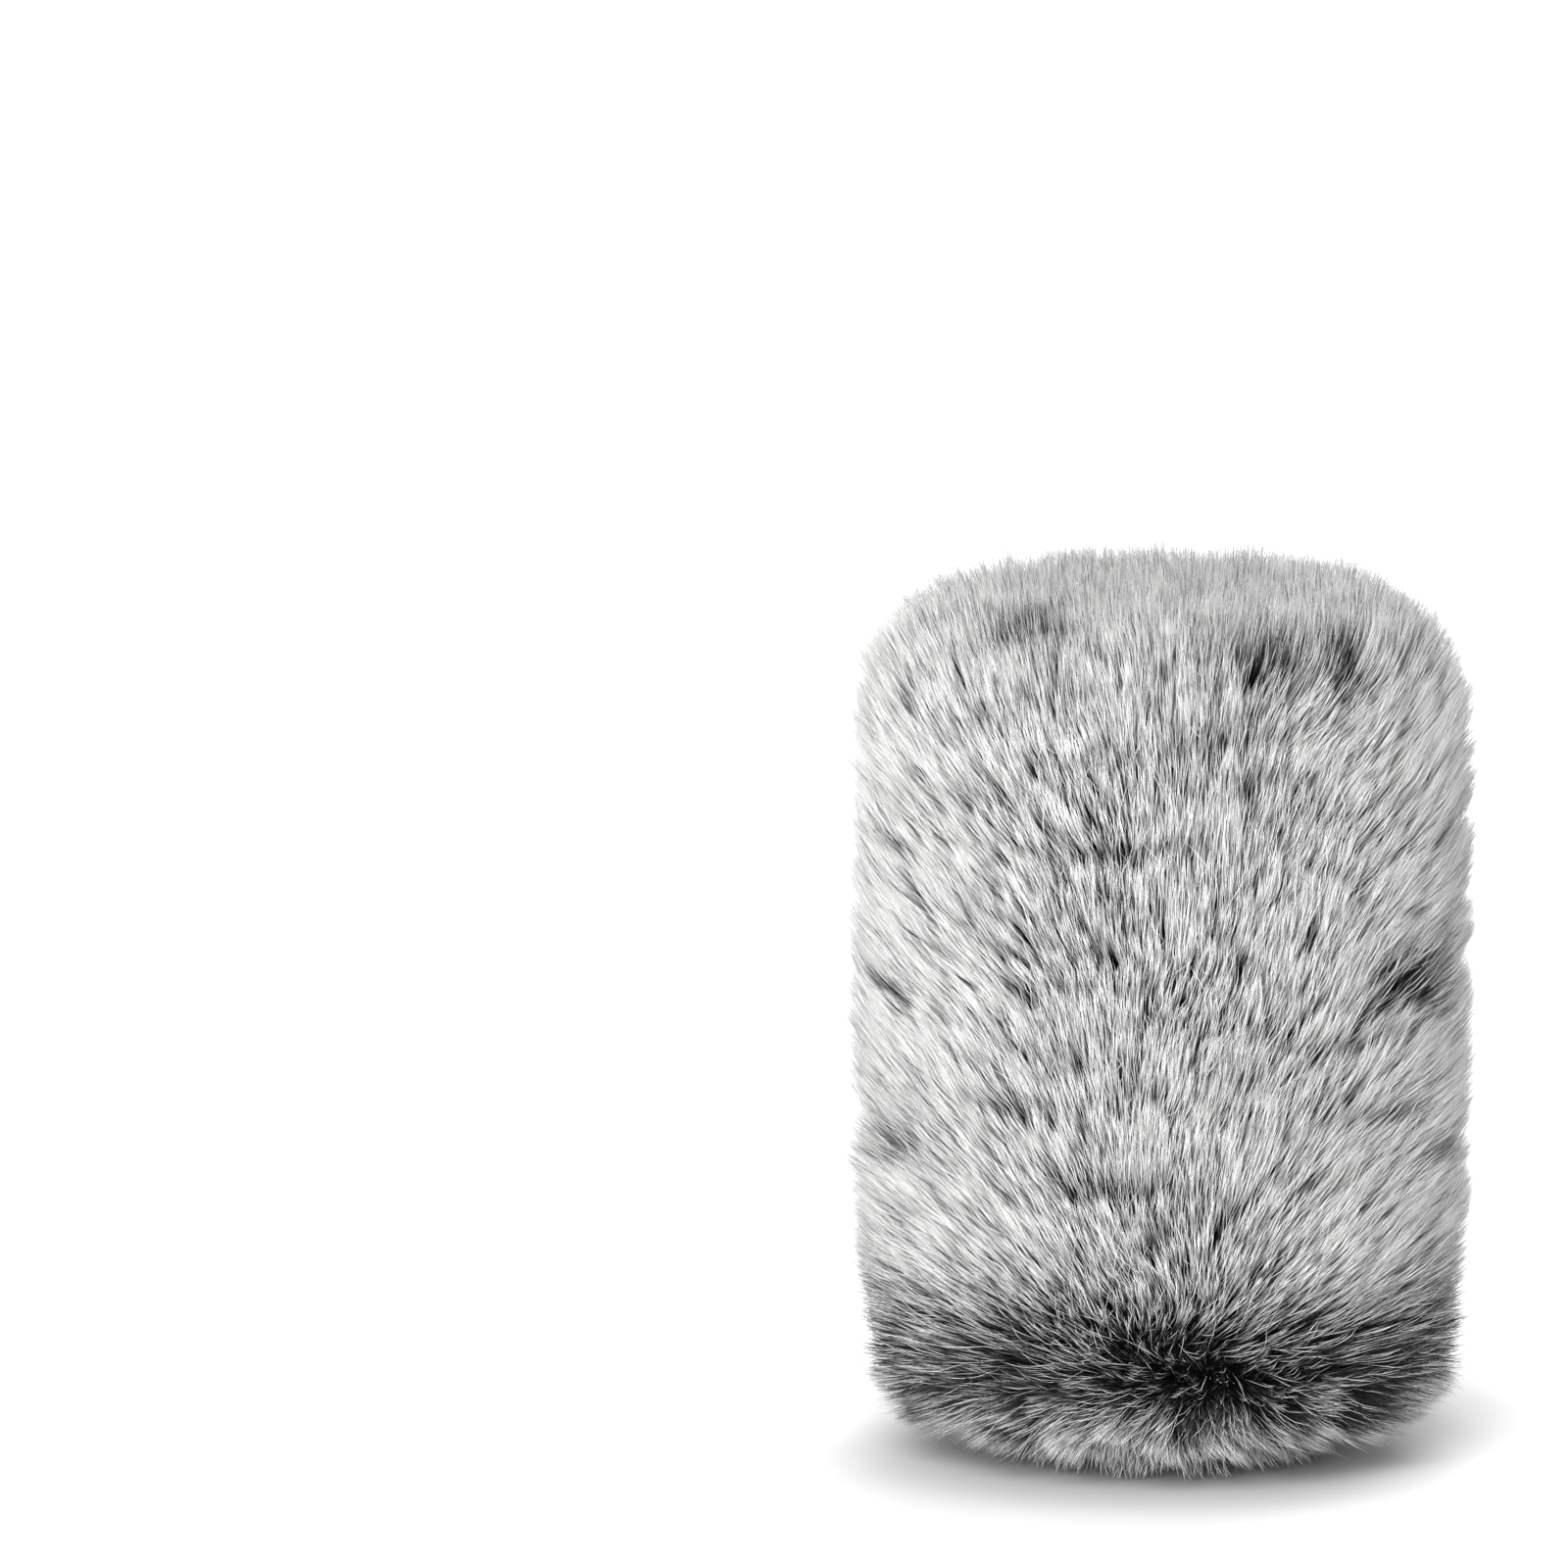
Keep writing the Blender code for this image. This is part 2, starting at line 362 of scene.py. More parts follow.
@dataclass(frozen=True)
class FloorFinish:
    """A white sweep that glows from within away from the object, painted light that keeps it white to its
    edge, with a painted shadow darkening it near the axis.
    """

    level: float = 0.76
    painted_shadow: float = 0.5
    near: float = 0.028
    far: float = 0.068
    painted_glow: float = 0.64

    def make(self) -> bpy.types.Material:
        """Build the material."""
        web = Web("white_floor")
        place = web.place()
        cloud = web.noise(6.0, 2.0)
        reach = web.node("ShaderNodeVectorMath", {"operation": "LENGTH"}, {0: place}, output="Value")
        lit = reach.between(self.near, self.far)
        white = web.blend(cloud, grey(self.level * 0.995), grey(self.level))
        # Painted shadow: the floor's colour is darker within about near of the axis, under the windscreen.
        colour = web.blend(reach.between(self.near * 0.7, self.near * 1.3), grey(self.painted_shadow), white)
        # Painted light: the floor glows, not at all near the object and fully from far out.
        painted_glow = web.blend(lit, grey(0.0), grey(self.painted_glow))
        return web.wear(Base_Color=colour, Roughness=0.9 + cloud * 0.05, Specular_IOR_Level=0.1,
                        Emission_Color=painted_glow, Emission_Strength=1.0)


# ---------------------------------------------------------------- meshes


def adopt(data: bpy.types.Mesh, finish: bpy.types.Material, node: str) -> bpy.types.Object:
    """Put a mesh in the scene as a piece that rides on the body.

    Args:
        data: Its mesh, which has the piece's name.
        finish: Its material.
        node: The CAD node that it stands for.

    Returns:
        The piece.
    """
    piece = bpy.data.objects.new(data.name, data)
    data.materials.append(finish)
    bpy.context.scene.collection.objects.link(piece)
    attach(piece, BODY)
    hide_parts(node)
    log.info("%s: %d faces", piece.name, len(data.polygons))
    return piece


def turned(outline: Array, around: int, closed: bool, wobble: Callable[[Array, Array], Array] | None = None
           ) -> tuple[Array, list[tuple[int, ...]]]:
    """Turn an outline round the axis.

    Args:
        outline: Points (radius, height), running down the outer side. An open one ends on the axis.
        around: How many steps the turn has.
        closed: Whether the outline's ends meet.
        wobble: What is added to each (radius, height), from the angle and the outline's points.

    Returns:
        The points and the faces.
    """
    angles = np.arange(around) * math.tau / around
    radius = np.repeat(outline[None, :, 0], around, 0)
    height = np.repeat(outline[None, :, 1], around, 0)
    if wobble is not None:
        change = wobble(angles[:, None], outline[None, :, :])
        radius = radius + change[..., 0]
        height = height + change[..., 1]
    points = np.stack([radius * np.cos(angles)[:, None], radius * np.sin(angles)[:, None], height], -1)
    count = len(outline)
    faces: list[tuple[int, ...]] = []
    links = count if closed else count - 1
    for i in range(around):
        j = (i + 1) % around
        for k in range(links):
            n = (k + 1) % count
            faces.append((i * count + k, i * count + n, j * count + n, j * count + k))
    return points.reshape(-1, 3), faces


def smooth_mesh(name: str, points: Array, faces: Sequence[Sequence[int]]) -> bpy.types.Mesh:
    """A smooth mesh of points, in metres, and faces."""
    mesh = bpy.data.meshes.new(name)
    mesh.from_pydata(points.tolist(), [], [list(face) for face in faces])
    mesh.update()
    mesh.shade_smooth()
    return mesh


def welded(name: str, points: Array, faces: Sequence[Sequence[int]]) -> bpy.types.Mesh:
    """A mesh with the points that lie together joined, such as those on the axis."""
    mesh = smooth_mesh(name, points, faces)
    work = bmesh.new()
    work.from_mesh(mesh)
    bmesh.ops.remove_doubles(work, verts=work.verts, dist=1e-6)
    bmesh.ops.recalc_face_normals(work, faces=work.faces)
    work.to_mesh(mesh)
    work.free()
    mesh.shade_smooth()
    return mesh


def arc(centre: tuple[float, float], radius: float, start: float, end: float,
        steps: int) -> list[tuple[float, float]]:
    """Points (radius, height) along an arc.

    Args:
        centre: Its centre.
        radius: Its radius.
        start: The first angle, in radians.
        end: The last angle.
        steps: How many chords it has.

    Returns:
        The points, both ends included.
    """
    angles = np.linspace(start, end, steps + 1)
    return [(centre[0] + radius * math.cos(a), centre[1] + radius * math.sin(a)) for a in angles]


def tube(path: Array, thickness: float, ring: bool = False,
         sides: int = 6) -> tuple[Array, list[tuple[int, ...]]]:
    """A round tube along a path.

    Args:
        path: The points that it follows.
        thickness: Its radius.
        ring: Whether its ends meet.
        sides: How many sides it has.

    Returns:
        The points and the faces, with capped ends unless it is a ring.
    """
    ahead = np.roll(path, -1, 0) - np.roll(path, 1, 0)
    if not ring:
        ahead[0] = path[1] - path[0]
        ahead[-1] = path[-1] - path[-2]
    ahead /= np.linalg.norm(ahead, axis=1)[:, None]
    up = np.where(np.abs(ahead[:, 2:3]) > 0.9, np.array([[1.0, 0.0, 0.0]]), np.array([[0.0, 0.0, 1.0]]))
    across = np.cross(ahead, up)
    across /= np.linalg.norm(across, axis=1)[:, None]
    over = np.cross(across, ahead)
    turn = np.arange(sides) * math.tau / sides
    points = path[:, None] + thickness * (np.cos(turn)[None, :, None] * across[:, None]
                                          + np.sin(turn)[None, :, None] * over[:, None])
    faces: list[tuple[int, ...]] = []
    count = len(path)
    for i in range(count if ring else count - 1):
        j = (i + 1) % count
        for k in range(sides):
            n = (k + 1) % sides
            faces.append((i * sides + k, j * sides + k, j * sides + n, i * sides + n))
    if not ring:
        faces.append(tuple(range(sides)))
        faces.append(tuple(reversed(range((count - 1) * sides, count * sides))))
    return points.reshape(-1, 3), faces


# ---------------------------------------------------------------- the cover's shape


@dataclass
class Cut:
    """The cover's sizes, which the frame gives or which repeat the pattern."""

    backing: float = 1.0 * MM
    fit: float = 0.3 * MM
    shoulder: float = 5.0 * MM
    foot: float = 1.2 * MM
    bore: float = 10.3 * MM
    neck: float = 13.3 * MM
    base_low: float = 2.0 * MM
    pile_foot: float = 9.0 * MM
    dome_rise: float = 1.6 * MM
    pile_shoulder: float = 13.0 * MM
    fluff: float = 1.3 * MM

    def __post_init__(self) -> None:
        """Read the foam's and the fur's boxes."""
        low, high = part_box("foam_core")
        self.foam_radius = high[0]
        self.foam_low = low[2]
        self.foam_high = high[2]
        self.fur_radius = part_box("fur_side_panel")[1][0]
        self.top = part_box("fur_crown_panel")[1][2]
        self.back_radius = self.foam_radius + self.fit + self.backing
        self.back_low = self.foam_low - self.fit - self.backing
        self.back_high = self.foam_high + self.fit + self.backing
        self.shoulder_centre = (self.foam_radius - self.shoulder, self.foam_high - self.shoulder)
        self.foot_centre = (self.fur_radius - self.pile_foot, self.base_low + self.pile_foot)

    def depth(self, radius: Array, height: Array) -> Array:
        """How far places lie under the surface that the pile is sheared to.

        Args:
            radius: Distances from the axis.
            height: Heights above the floor.

        Returns:
            Depths, below 0 outside the surface.
        """
        out, low = self.foot_centre
        over = self.fur_radius - self.pile_shoulder
        up = self.top - self.dome_rise + self.fluff - self.pile_shoulder
        dome = self.top + self.fluff - self.dome_rise * (radius / over) ** 2 - height
        shoulder = self.pile_shoulder - np.hypot(np.maximum(radius - over, 0), np.maximum(height - up, 0))
        foot = self.pile_foot - np.hypot(np.maximum(radius - out, 0), np.maximum(low - height, 0))
        return np.minimum(np.minimum(dome, self.fur_radius - radius), np.minimum(shoulder, foot))


class Backing:
    """The backing's outer outline, from the neck out, up the side and in over the crown."""

    def __init__(self, cut: Cut) -> None:
        """Lay the outline out as closely spaced points with their lengths and slopes."""
        self.cut = cut
        foot_centre = (cut.back_radius - cut.foot, cut.back_low + cut.foot)
        shoulder_radius = cut.shoulder + cut.fit + cut.backing
        points = [(cut.neck, cut.back_low)]
        points += arc(foot_centre, cut.foot, -math.pi / 2, 0.0, 6)
        points += arc(cut.shoulder_centre, shoulder_radius, 0.0, math.pi / 2, 18)
        points.append((0.0, cut.back_high))
        rough = np.array(points)
        lengths = np.concatenate([[0], np.cumsum(np.linalg.norm(np.diff(rough, axis=0), axis=1))])
        self.at = np.linspace(0, lengths[-1], 1400)
        self.radius = np.interp(self.at, lengths, rough[:, 0])
        self.height = np.interp(self.at, lengths, rough[:, 1])
        slope = np.arctan2(np.gradient(self.height, self.at), np.gradient(self.radius, self.at))
        kernel = np.ones(15) / 15
        self.slope = np.convolve(np.pad(np.unwrap(slope), 7, mode="edge"), kernel, "valid")
        self.total = float(lengths[-1])
        self.foot_at = float(np.interp(-math.pi / 4, self.slope - math.pi / 2, self.at))
        self.seam_at = float(np.interp(math.pi / 4, self.slope - math.pi / 2, self.at))

    def read(self, at: Array) -> tuple[Array, Array, Array]:
        """Read the outline.

        Args:
            at: Lengths along it from the neck.

        Returns:
            The radius, the height and the outward normal's angle above level.
        """
        return (np.interp(at, self.at, self.radius), np.interp(at, self.at, self.height),
                np.interp(at, self.at, self.slope) - math.pi / 2)

    def scatter(self, rng: np.random.Generator, tips: Array, low: float, high: float,
                crowd: float) -> tuple[Array, Array]:
        """Places over a band of the cover, closer together where the tips fan out.

        Args:
            rng: Where chance comes from.
            tips: Where the hair from each point of the outline ends, as radii and heights.
            low: Where the band starts, as a length from the neck.
            high: Where it ends.
            crowd: Hairs for each square metre of the sheared surface.

        Returns:
            Their lengths along the outline and their angles round the axis.
        """
        inside = (self.at >= low) & (self.at <= high)
        step = np.hypot(np.gradient(tips[:, 0]), np.gradient(tips[:, 1]))
        own = self.radius * np.gradient(self.at)
        area = np.cumsum(np.where(inside, 0.3 * own + 0.7 * tips[:, 0] * step, 0.0)) * math.tau
        at = np.interp(rng.random(int(area[-1] * crowd)) * area[-1], area, self.at)
        return at, rng.random(len(at)) * math.tau


# ---------------------------------------------------------------- fur


class Layer(Enum):
    """A kind of hair: its share of the pile, its tip's depth, its thickness and its place on the card."""

    UNDERFUR = (0.28, 2.6 * MM, 0.05 * MM, (0.0, 0.3))
    MIDDLE = (0.36, 0.8 * MM, 0.049 * MM, (0.3, 0.66))
    GUARD = (0.36, 0.1 * MM, 0.047 * MM, (0.62, 1.0))

    @property
    def share(self) -> float:
        """Its share of the pile."""
        return self.value[0]

    @property
    def under(self) -> float:
        """How deep its tip stays under the sheared surface, in metres."""
        return self.value[1]

    @property
    def thickness(self) -> float:
        """Its radius near the root, in metres."""
        return self.value[2]

    @property
    def card(self) -> tuple[float, float]:
        """Where it lies across the shade card."""
        return self.value[3]


@dataclass(frozen=True)
class Parting:
    """A place where the pile has fallen open and its dark roots show, with painted shade on its hairs."""

    azimuth: float
    height: float
    half_width: float
    half_height: float
    depth: float


@dataclass
class Comb:
    """Which way the pile is combed: its angle above level from the neck to the crown, and where it parts."""

    at_neck: float = math.radians(-66)
    at_foot: float = math.radians(-12)
    at_seam: float = math.radians(13)
    on_side: float = math.radians(50)
    on_crown: float = math.radians(84)
    rise: float = 6.5 * MM
    swept: float = 0.85
    swept_reach: float = 4.5 * MM
    sweep_turn: float = 0.4
    wander: float = 0.45
    wander_length: float = 1.6 * MM
    root_curl: float = 0.35
    flat_curl: float = 0.4
    base_rise: float = 1.1
    partings: tuple[Parting, ...] = ()

    def lean(self, at: Array, back: Backing) -> Array:
        """How far the pile leans along the cover, towards the crown.

        Args:
            at: Lengths along the outline from the neck.
            back: The outline.

        Returns:
            Angles from the surface's normal.
        """
        _, _, normal = back.read(at)
        out = np.clip(at / back.foot_at, 0, 1)
        base = self.at_neck + (self.at_foot - self.at_neck) * out**self.base_rise
        fallen = np.exp(-np.maximum(at - back.foot_at, 0) / self.rise)
        side = self.on_side + (self.at_seam - self.on_side) * fallen
        over = np.clip(normal / (math.pi / 2), 0, 1)
        side = side + (self.on_crown - self.on_side) * over
        return np.where(at < back.foot_at, base, side) - normal

    def curl(self, at: Array, back: Backing) -> Array:
        """How much of its lean a strand already has at the root: more where the base is combed flat.

        Args:
            at: Lengths along the outline from the neck.
            back: The outline.

        Returns:
            Shares of the lean.
        """
        out = np.clip(at / back.foot_at, 0, 1)
        return np.where(at < back.foot_at, self.root_curl + self.flat_curl * out, self.root_curl)

    def sweep(self, at: Array, turn: Array, back: Backing) -> Array:
        """How far the base's pile is swept round the axis, away from the front.

        Args:
            at: Lengths along the outline from the neck.
            turn: Angles round the axis.
            back: The outline.

        Returns:
            Angles to turn the strands by.
        """
        from_front = np.cos(turn + self.wander * np.sin(at / self.wander_length))
        share = np.exp(-np.maximum(at - back.foot_at, 0) / self.swept_reach)
        return self.swept * from_front / np.sqrt(from_front**2 + self.sweep_turn) * share


@dataclass
class Strands:
    """Hairs worked out together: roots, frames, lengths, thicknesses and places on the card."""

    root: Array
    normal: Array
    along: Array
    around: Array
    lean: Array
    curl: Array
    twist: Array
    length: Array
    thickness: Array
    shade: Array
    bend: Array
    bend_side: Array
    rings: Array | None = None


@dataclass(frozen=True)
class Unevenness:
    """How unevenly the pile falls: angles in radians, depths in metres, tones in places on the card.

    Waves are given as (seed, length, size), and the rest are spreads. The tones taken off sunken clumps and
    partings are painted shade.
    """

    tilt_waves: tuple[tuple[int, float, float], ...] = ((101, 24 * MM, 0.07), (102, 6 * MM, 0.05))
    sway_waves: tuple[tuple[int, float, float], ...] = ((103, 30 * MM, 0.09), (104, 7 * MM, 0.04))
    depth_waves: tuple[tuple[int, float, float], ...] = ((105, 5 * MM, 0.45 * MM),)
    tone_waves: tuple[tuple[int, float, float], ...] = ((106, 4.5 * MM, 0.05),)
    clump_tilt: float = 0.05
    clump_sway: float = 0.045
    clump_depth: float = 0.3 * MM
    clump_tone: float = 0.08
    sunken: float = 0.1
    sunken_depth: float = 1.5 * MM
    sunken_painted_shade: float = 0.2
    hair_tilt: float = 0.055
    hair_twist: float = 0.06
    hair_bend: float = 0.07
    hair_depth: float = 0.35 * MM
    strays: float = 0.04
    stray_tilt: float = 0.2
    stray_twist: float = 0.3
    stray_pull: float = 0.05
    most_proud: float = 0.5 * MM
    parting_tilt: float = 0.3
    parting_depth: float = 0.6 * MM
    parting_painted_shade: float = 0.42
    parting_painted_faint: float = 0.08
    parting_share: float = 0.6


class Pile:
    """The fur: clumps, strands and their meshes.

    A strand's mesh has rings at the first three STOPS, each three-sided, and a point at the last.
    """

    STOPS = (0.0, 0.42, 0.76, 1.0)
    WIDTHS = (0.85, 1.0, 0.74)
    STEPS = 13
    POINTS = 10
    SHORTEST = 2 * MM
    TALLEST = 19 * MM
    HALVINGS = 14
    TIP_LEAN = 1.15
    GATHER_RISE = 1.7
    CLEARANCE = 0.15 * MM
    CARD_HALF = 0.36
    LEAST_SHADE = 0.004

    def __init__(self, back: Backing, comb: Comb, finish: bpy.types.Material, columns: int) -> None:
        """Keep the outline, the combing and the finish."""
        self.back = back
        self.comb = comb
        self.finish = finish
        self.columns = columns
        self.uneven = Unevenness()

    def fan(self) -> Array:
        """Where an untroubled hair from each point of the outline ends, as (radius, height)."""
        at = self.back.at
        none = np.zeros(len(at))
        hairs = Strands(*self.frames(at, none), self.comb.lean(at, self.back), self.comb.curl(at, self.back),
                        none, np.ones(len(at)), none, none, none, none)
        self.shear(hairs, none)
        tips = self.path(hairs)[:, -1]
        return np.stack([np.hypot(tips[:, 0], tips[:, 1]), tips[:, 2]], -1)

    def frames(self, at: Array, turn: Array) -> tuple[Array, Array, Array, Array]:
        """Where strands stand.

        Args:
            at: Lengths along the outline.
            turn: Angles round the axis.

        Returns:
            The roots, the outward normals, the directions along the cover and those round it.
        """
        radius, height, normal = self.back.read(at)
        level = np.stack([np.cos(turn), np.sin(turn), np.zeros_like(turn)], -1)
        around = np.stack([-np.sin(turn), np.cos(turn), np.zeros_like(turn)], -1)
        up = np.array([0.0, 0.0, 1.0])
        root = level * radius[:, None] + up * height[:, None]
        out = level * np.cos(normal)[:, None] + up * np.sin(normal)[:, None]
        along = -level * np.sin(normal)[:, None] + up * np.cos(normal)[:, None]
        return root, out, along, around

    def drift(self, root: Array, seed: int, size: float) -> Array:
        """Slow random waves over the cover.

        Args:
            root: The places to read.
            seed: Which waves.
            size: Their length, in metres.

        Returns:
            Numbers about 0, mostly from -1 to 1.
        """
        rng = np.random.default_rng(seed)
        total = np.zeros(len(root))
        for _ in range(9):
            way = rng.normal(size=3)
            way *= math.tau / size / np.linalg.norm(way) * rng.uniform(0.6, 1.5)
            total += np.sin(root @ way + rng.uniform(0, math.tau))
        return total / 2.4

    def waves(self, root: Array, kinds: Sequence[tuple[int, float, float]]) -> Array:
        """Several drifts together, each given as its seed, length and size."""
        return sum(self.drift(root, seed, length) * size for seed, length, size in kinds)

    def opened(self, root: Array) -> tuple[Array, Array]:
        """How far each place lies in a parting.

        Args:
            root: The places to read.

        Returns:
            How open the pile is there, from 0 to 1, and on which side of the parting's line the place lies.
        """
        depth = np.zeros(len(root))
        side = np.zeros(len(root))
        azimuth = np.arctan2(root[:, 0], -root[:, 1])
        reach = np.hypot(root[:, 0], root[:, 1])
        for gap in self.comb.partings:
            off = (azimuth - gap.azimuth + math.pi) % math.tau - math.pi
            across = off * np.maximum(reach, 8 * MM) / gap.half_width
            up = (root[:, 2] - gap.height) / gap.half_height
            rim = float(np.interp(gap.height, self.back.height, self.back.radius))
            inward = (reach - rim) / (2.0 * gap.half_height)
            near = np.exp(-(across**2) ** 2 - up**2 - inward**2) * gap.depth
            side = np.where(near > depth, np.tanh(up * 2), side)
            depth = np.maximum(depth, near)
        return depth, side

    def grow(self, at: Array, turn: Array, layers: Sequence[Layer], seed: int, spacing: float,
             ruffle: Array | float = 1.0, pull: Array | float = 0.2, painted_shade: Array | float = 0.0,
             tufts: float = 1.0) -> Strands:
        """Comb strands over places on the cover and shear them to its surface.

        Args:
            at: Lengths along the outline.
            turn: Angles round the axis.
            layers: Each strand's kind.
            seed: Which chance.
            spacing: How far apart the clumps stand.
            ruffle: How untidy the strands are.
            pull: How much a clump draws its strands together.
            painted_shade: Added to each strand's place on the card; below 0, as in every use here, it darkens
                a region as painted shade.
            tufts: How unlike its neighbours each clump is.

        Returns:
            The strands, with their rings.
        """
        rng = np.random.default_rng(seed)
        rough = self.uneven
        root, out, along, around = self.frames(at, turn)
        clump, centre = self.clumps(root, rng, spacing)
        picks = len(centre)
        count = len(at)
        tilt = self.waves(centre, rough.tilt_waves) + rng.normal(0, rough.clump_tilt * tufts, picks)
        sway = self.waves(centre, rough.sway_waves) + rng.normal(0, rough.clump_sway * tufts, picks)
        short = self.waves(centre, rough.depth_waves) + rng.normal(0, rough.clump_depth, picks)
        tone = self.waves(centre, rough.tone_waves) + rng.normal(0, rough.clump_tone * tufts, picks)
        sunken = rng.random(picks) < rough.sunken
        short = short + sunken * rough.sunken_depth
        # Painted shade: sunken clumps sit deeper and are darkened as well.
        tone = tone - sunken * rough.sunken_painted_shade
        open_by, side = self.opened(root)
        theta = self.comb.lean(at, self.back) + tilt[clump] + rng.normal(0, rough.hair_tilt, count) * ruffle
        theta = theta + open_by * side * rough.parting_tilt
        twist = self.comb.sweep(at, turn, self.back) + sway[clump]
        twist = twist + rng.normal(0, rough.hair_twist, count) * ruffle
        stray = rng.random(count) < rough.strays * ruffle
        theta = theta + stray * rng.normal(0, rough.stray_tilt, count)
        twist = twist + stray * rng.normal(0, rough.stray_twist, count)
        # lift is painted shade wherever it is below 0.
        shade = self.card_places(layers, rng) + tone[clump] + painted_shade
        # Painted shade in a parting: most hairs there sit much lower on the card, the rest a little lower.
        deep_painted_shade = rng.random(count) < rough.parting_share
        shade = shade - open_by * np.where(deep_painted_shade, rough.parting_painted_shade, rough.parting_painted_faint)
        thickness = np.array([layer.thickness for layer in layers]) * rng.uniform(0.85, 1.2, count)
        bend = rng.normal(0, rough.hair_bend, count) * np.sqrt(ruffle)
        bend_side = rng.normal(0, rough.hair_bend, count) * np.sqrt(ruffle)
        strands = Strands(root, out, along, around, theta, self.comb.curl(at, self.back), twist,
                          np.ones(count), thickness, self.on_card(shade), bend, bend_side)
        under = np.array([layer.under for layer in layers])
        depth = np.maximum(under + short[clump] + rng.normal(0, rough.hair_depth, count), -rough.most_proud)
        self.shear(strands, depth + np.minimum(open_by, 1.0) * rough.parting_depth)
        self.gather(strands, clump, centre, np.where(stray, rough.stray_pull, pull))
        return strands

    @staticmethod
    def card_places(layers: Sequence[Layer], rng: np.random.Generator) -> Array:
        """Each strand's place across the card, drawn within its kind's part of it."""
        low = np.array([layer.card[0] for layer in layers])
        high = np.array([layer.card[1] for layer in layers])
        return low + (high - low) * rng.random(len(layers))

    def on_card(self, shade: Array) -> Array:
        """Places kept on the card."""
        return np.clip(shade, self.LEAST_SHADE, 1 - self.LEAST_SHADE)

    def shear(self, strands: Strands, depth: Array) -> None:
        """Give each strand the length that leaves its tip at its depth under the surface.

        Args:
            strands: The strands, each one metre long. Their lengths are set here.
            depth: How deep each tip stays.
        """
        chord = self.path(strands)[:, -1] - strands.root
        short = np.full(len(depth), self.SHORTEST)
        tall = np.full(len(depth), self.TALLEST)
        for _ in range(self.HALVINGS):
            middle = (short + tall) / 2
            tip = strands.root + chord * middle[:, None]
            inside = self.back.cut.depth(np.hypot(tip[:, 0], tip[:, 1]), tip[:, 2]) > depth
            short = np.where(inside, middle, short)
            tall = np.where(inside, tall, middle)
        strands.length = (short + tall) / 2

    def clumps(self, root: Array, rng: np.random.Generator, spacing: float) -> tuple[Array, Array]:
        """Share strands out among clumps.

        Args:
            root: The strands' roots.
            rng: Where chance comes from.
            spacing: How far apart the clumps stand.

        Returns:
            Each strand's clump and the clumps' places.
        """
        area = self.band_area(root)
        count = max(8, int(area / spacing**2))
        picks = rng.choice(len(root), min(count, len(root)), replace=False)
        centre = root[picks]
        tree = kdtree.KDTree(len(centre))
        for i, point in enumerate(centre):
            tree.insert(point, i)
        tree.balance()
        return np.array([tree.find(point)[1] for point in root]), centre

    def band_area(self, root: Array) -> float:
        """The cover's area that the roots lie on, about."""
        reach = np.hypot(root[:, 0], root[:, 1])
        spread = np.ptp(root[:, 2]) + np.ptp(reach)
        return float(math.tau * reach.mean() * max(spread, 1 * MM))

    def path(self, strands: Strands) -> Array:
        """Each strand's line, in small steps from its root."""
        fine = np.linspace(0, 1, self.STEPS)
        step = strands.length[:, None] / (self.STEPS - 1)
        share = strands.curl[:, None] * (1 - fine) + self.TIP_LEAN * fine
        theta = strands.lean[:, None] * share + strands.bend[:, None] * (fine**2)
        twist = strands.twist[:, None] * (0.3 + 0.9 * fine) + strands.bend_side[:, None] * (fine**2)
        heading = (np.cos(theta)[..., None] * strands.normal[:, None]
                   + np.sin(theta)[..., None] * strands.along[:, None]
                   + np.sin(twist)[..., None] * strands.around[:, None])
        heading /= np.linalg.norm(heading, axis=-1)[..., None]
        moves = heading[:, :-1] * step[..., None]
        return np.concatenate([strands.root[:, None], strands.root[:, None] + np.cumsum(moves, 1)], 1)

    def gather(self, strands: Strands, clump: Array, centre: Array, pull: Array) -> None:
        """Lay the strands' rings, drawn together into clumps.

        Args:
            strands: The strands. The middles of their rings are set here.
            clump: Each strand's clump.
            centre: The clumps' places.
            pull: How much each strand is drawn to its clump's tip.
        """
        stops = np.array(self.STOPS)
        rings = self.sampled(self.path(strands), stops)
        tips = rings[:, -1] - strands.root
        count = np.bincount(clump, minlength=len(centre)).astype(float)
        mean = np.stack([np.bincount(clump, tips[:, k], len(centre)) for k in range(3)], -1)
        mean /= np.maximum(count, 1)[:, None]
        goal = centre[clump] + mean[clump]
        draw = (pull[:, None] * stops[None] ** self.GATHER_RISE)[..., None]
        strands.rings = rings + draw * (goal[:, None] - rings[:, -1:])

    @staticmethod
    def sampled(path: Array, stops: Array) -> Array:
        """Read paths at a few places along them."""
        last = path.shape[1] - 1
        place = stops * last
        low = np.minimum(place.astype(int), last - 1)
        part = (place - low)[None, :, None]
        return path[:, low] * (1 - part) + path[:, low + 1] * part

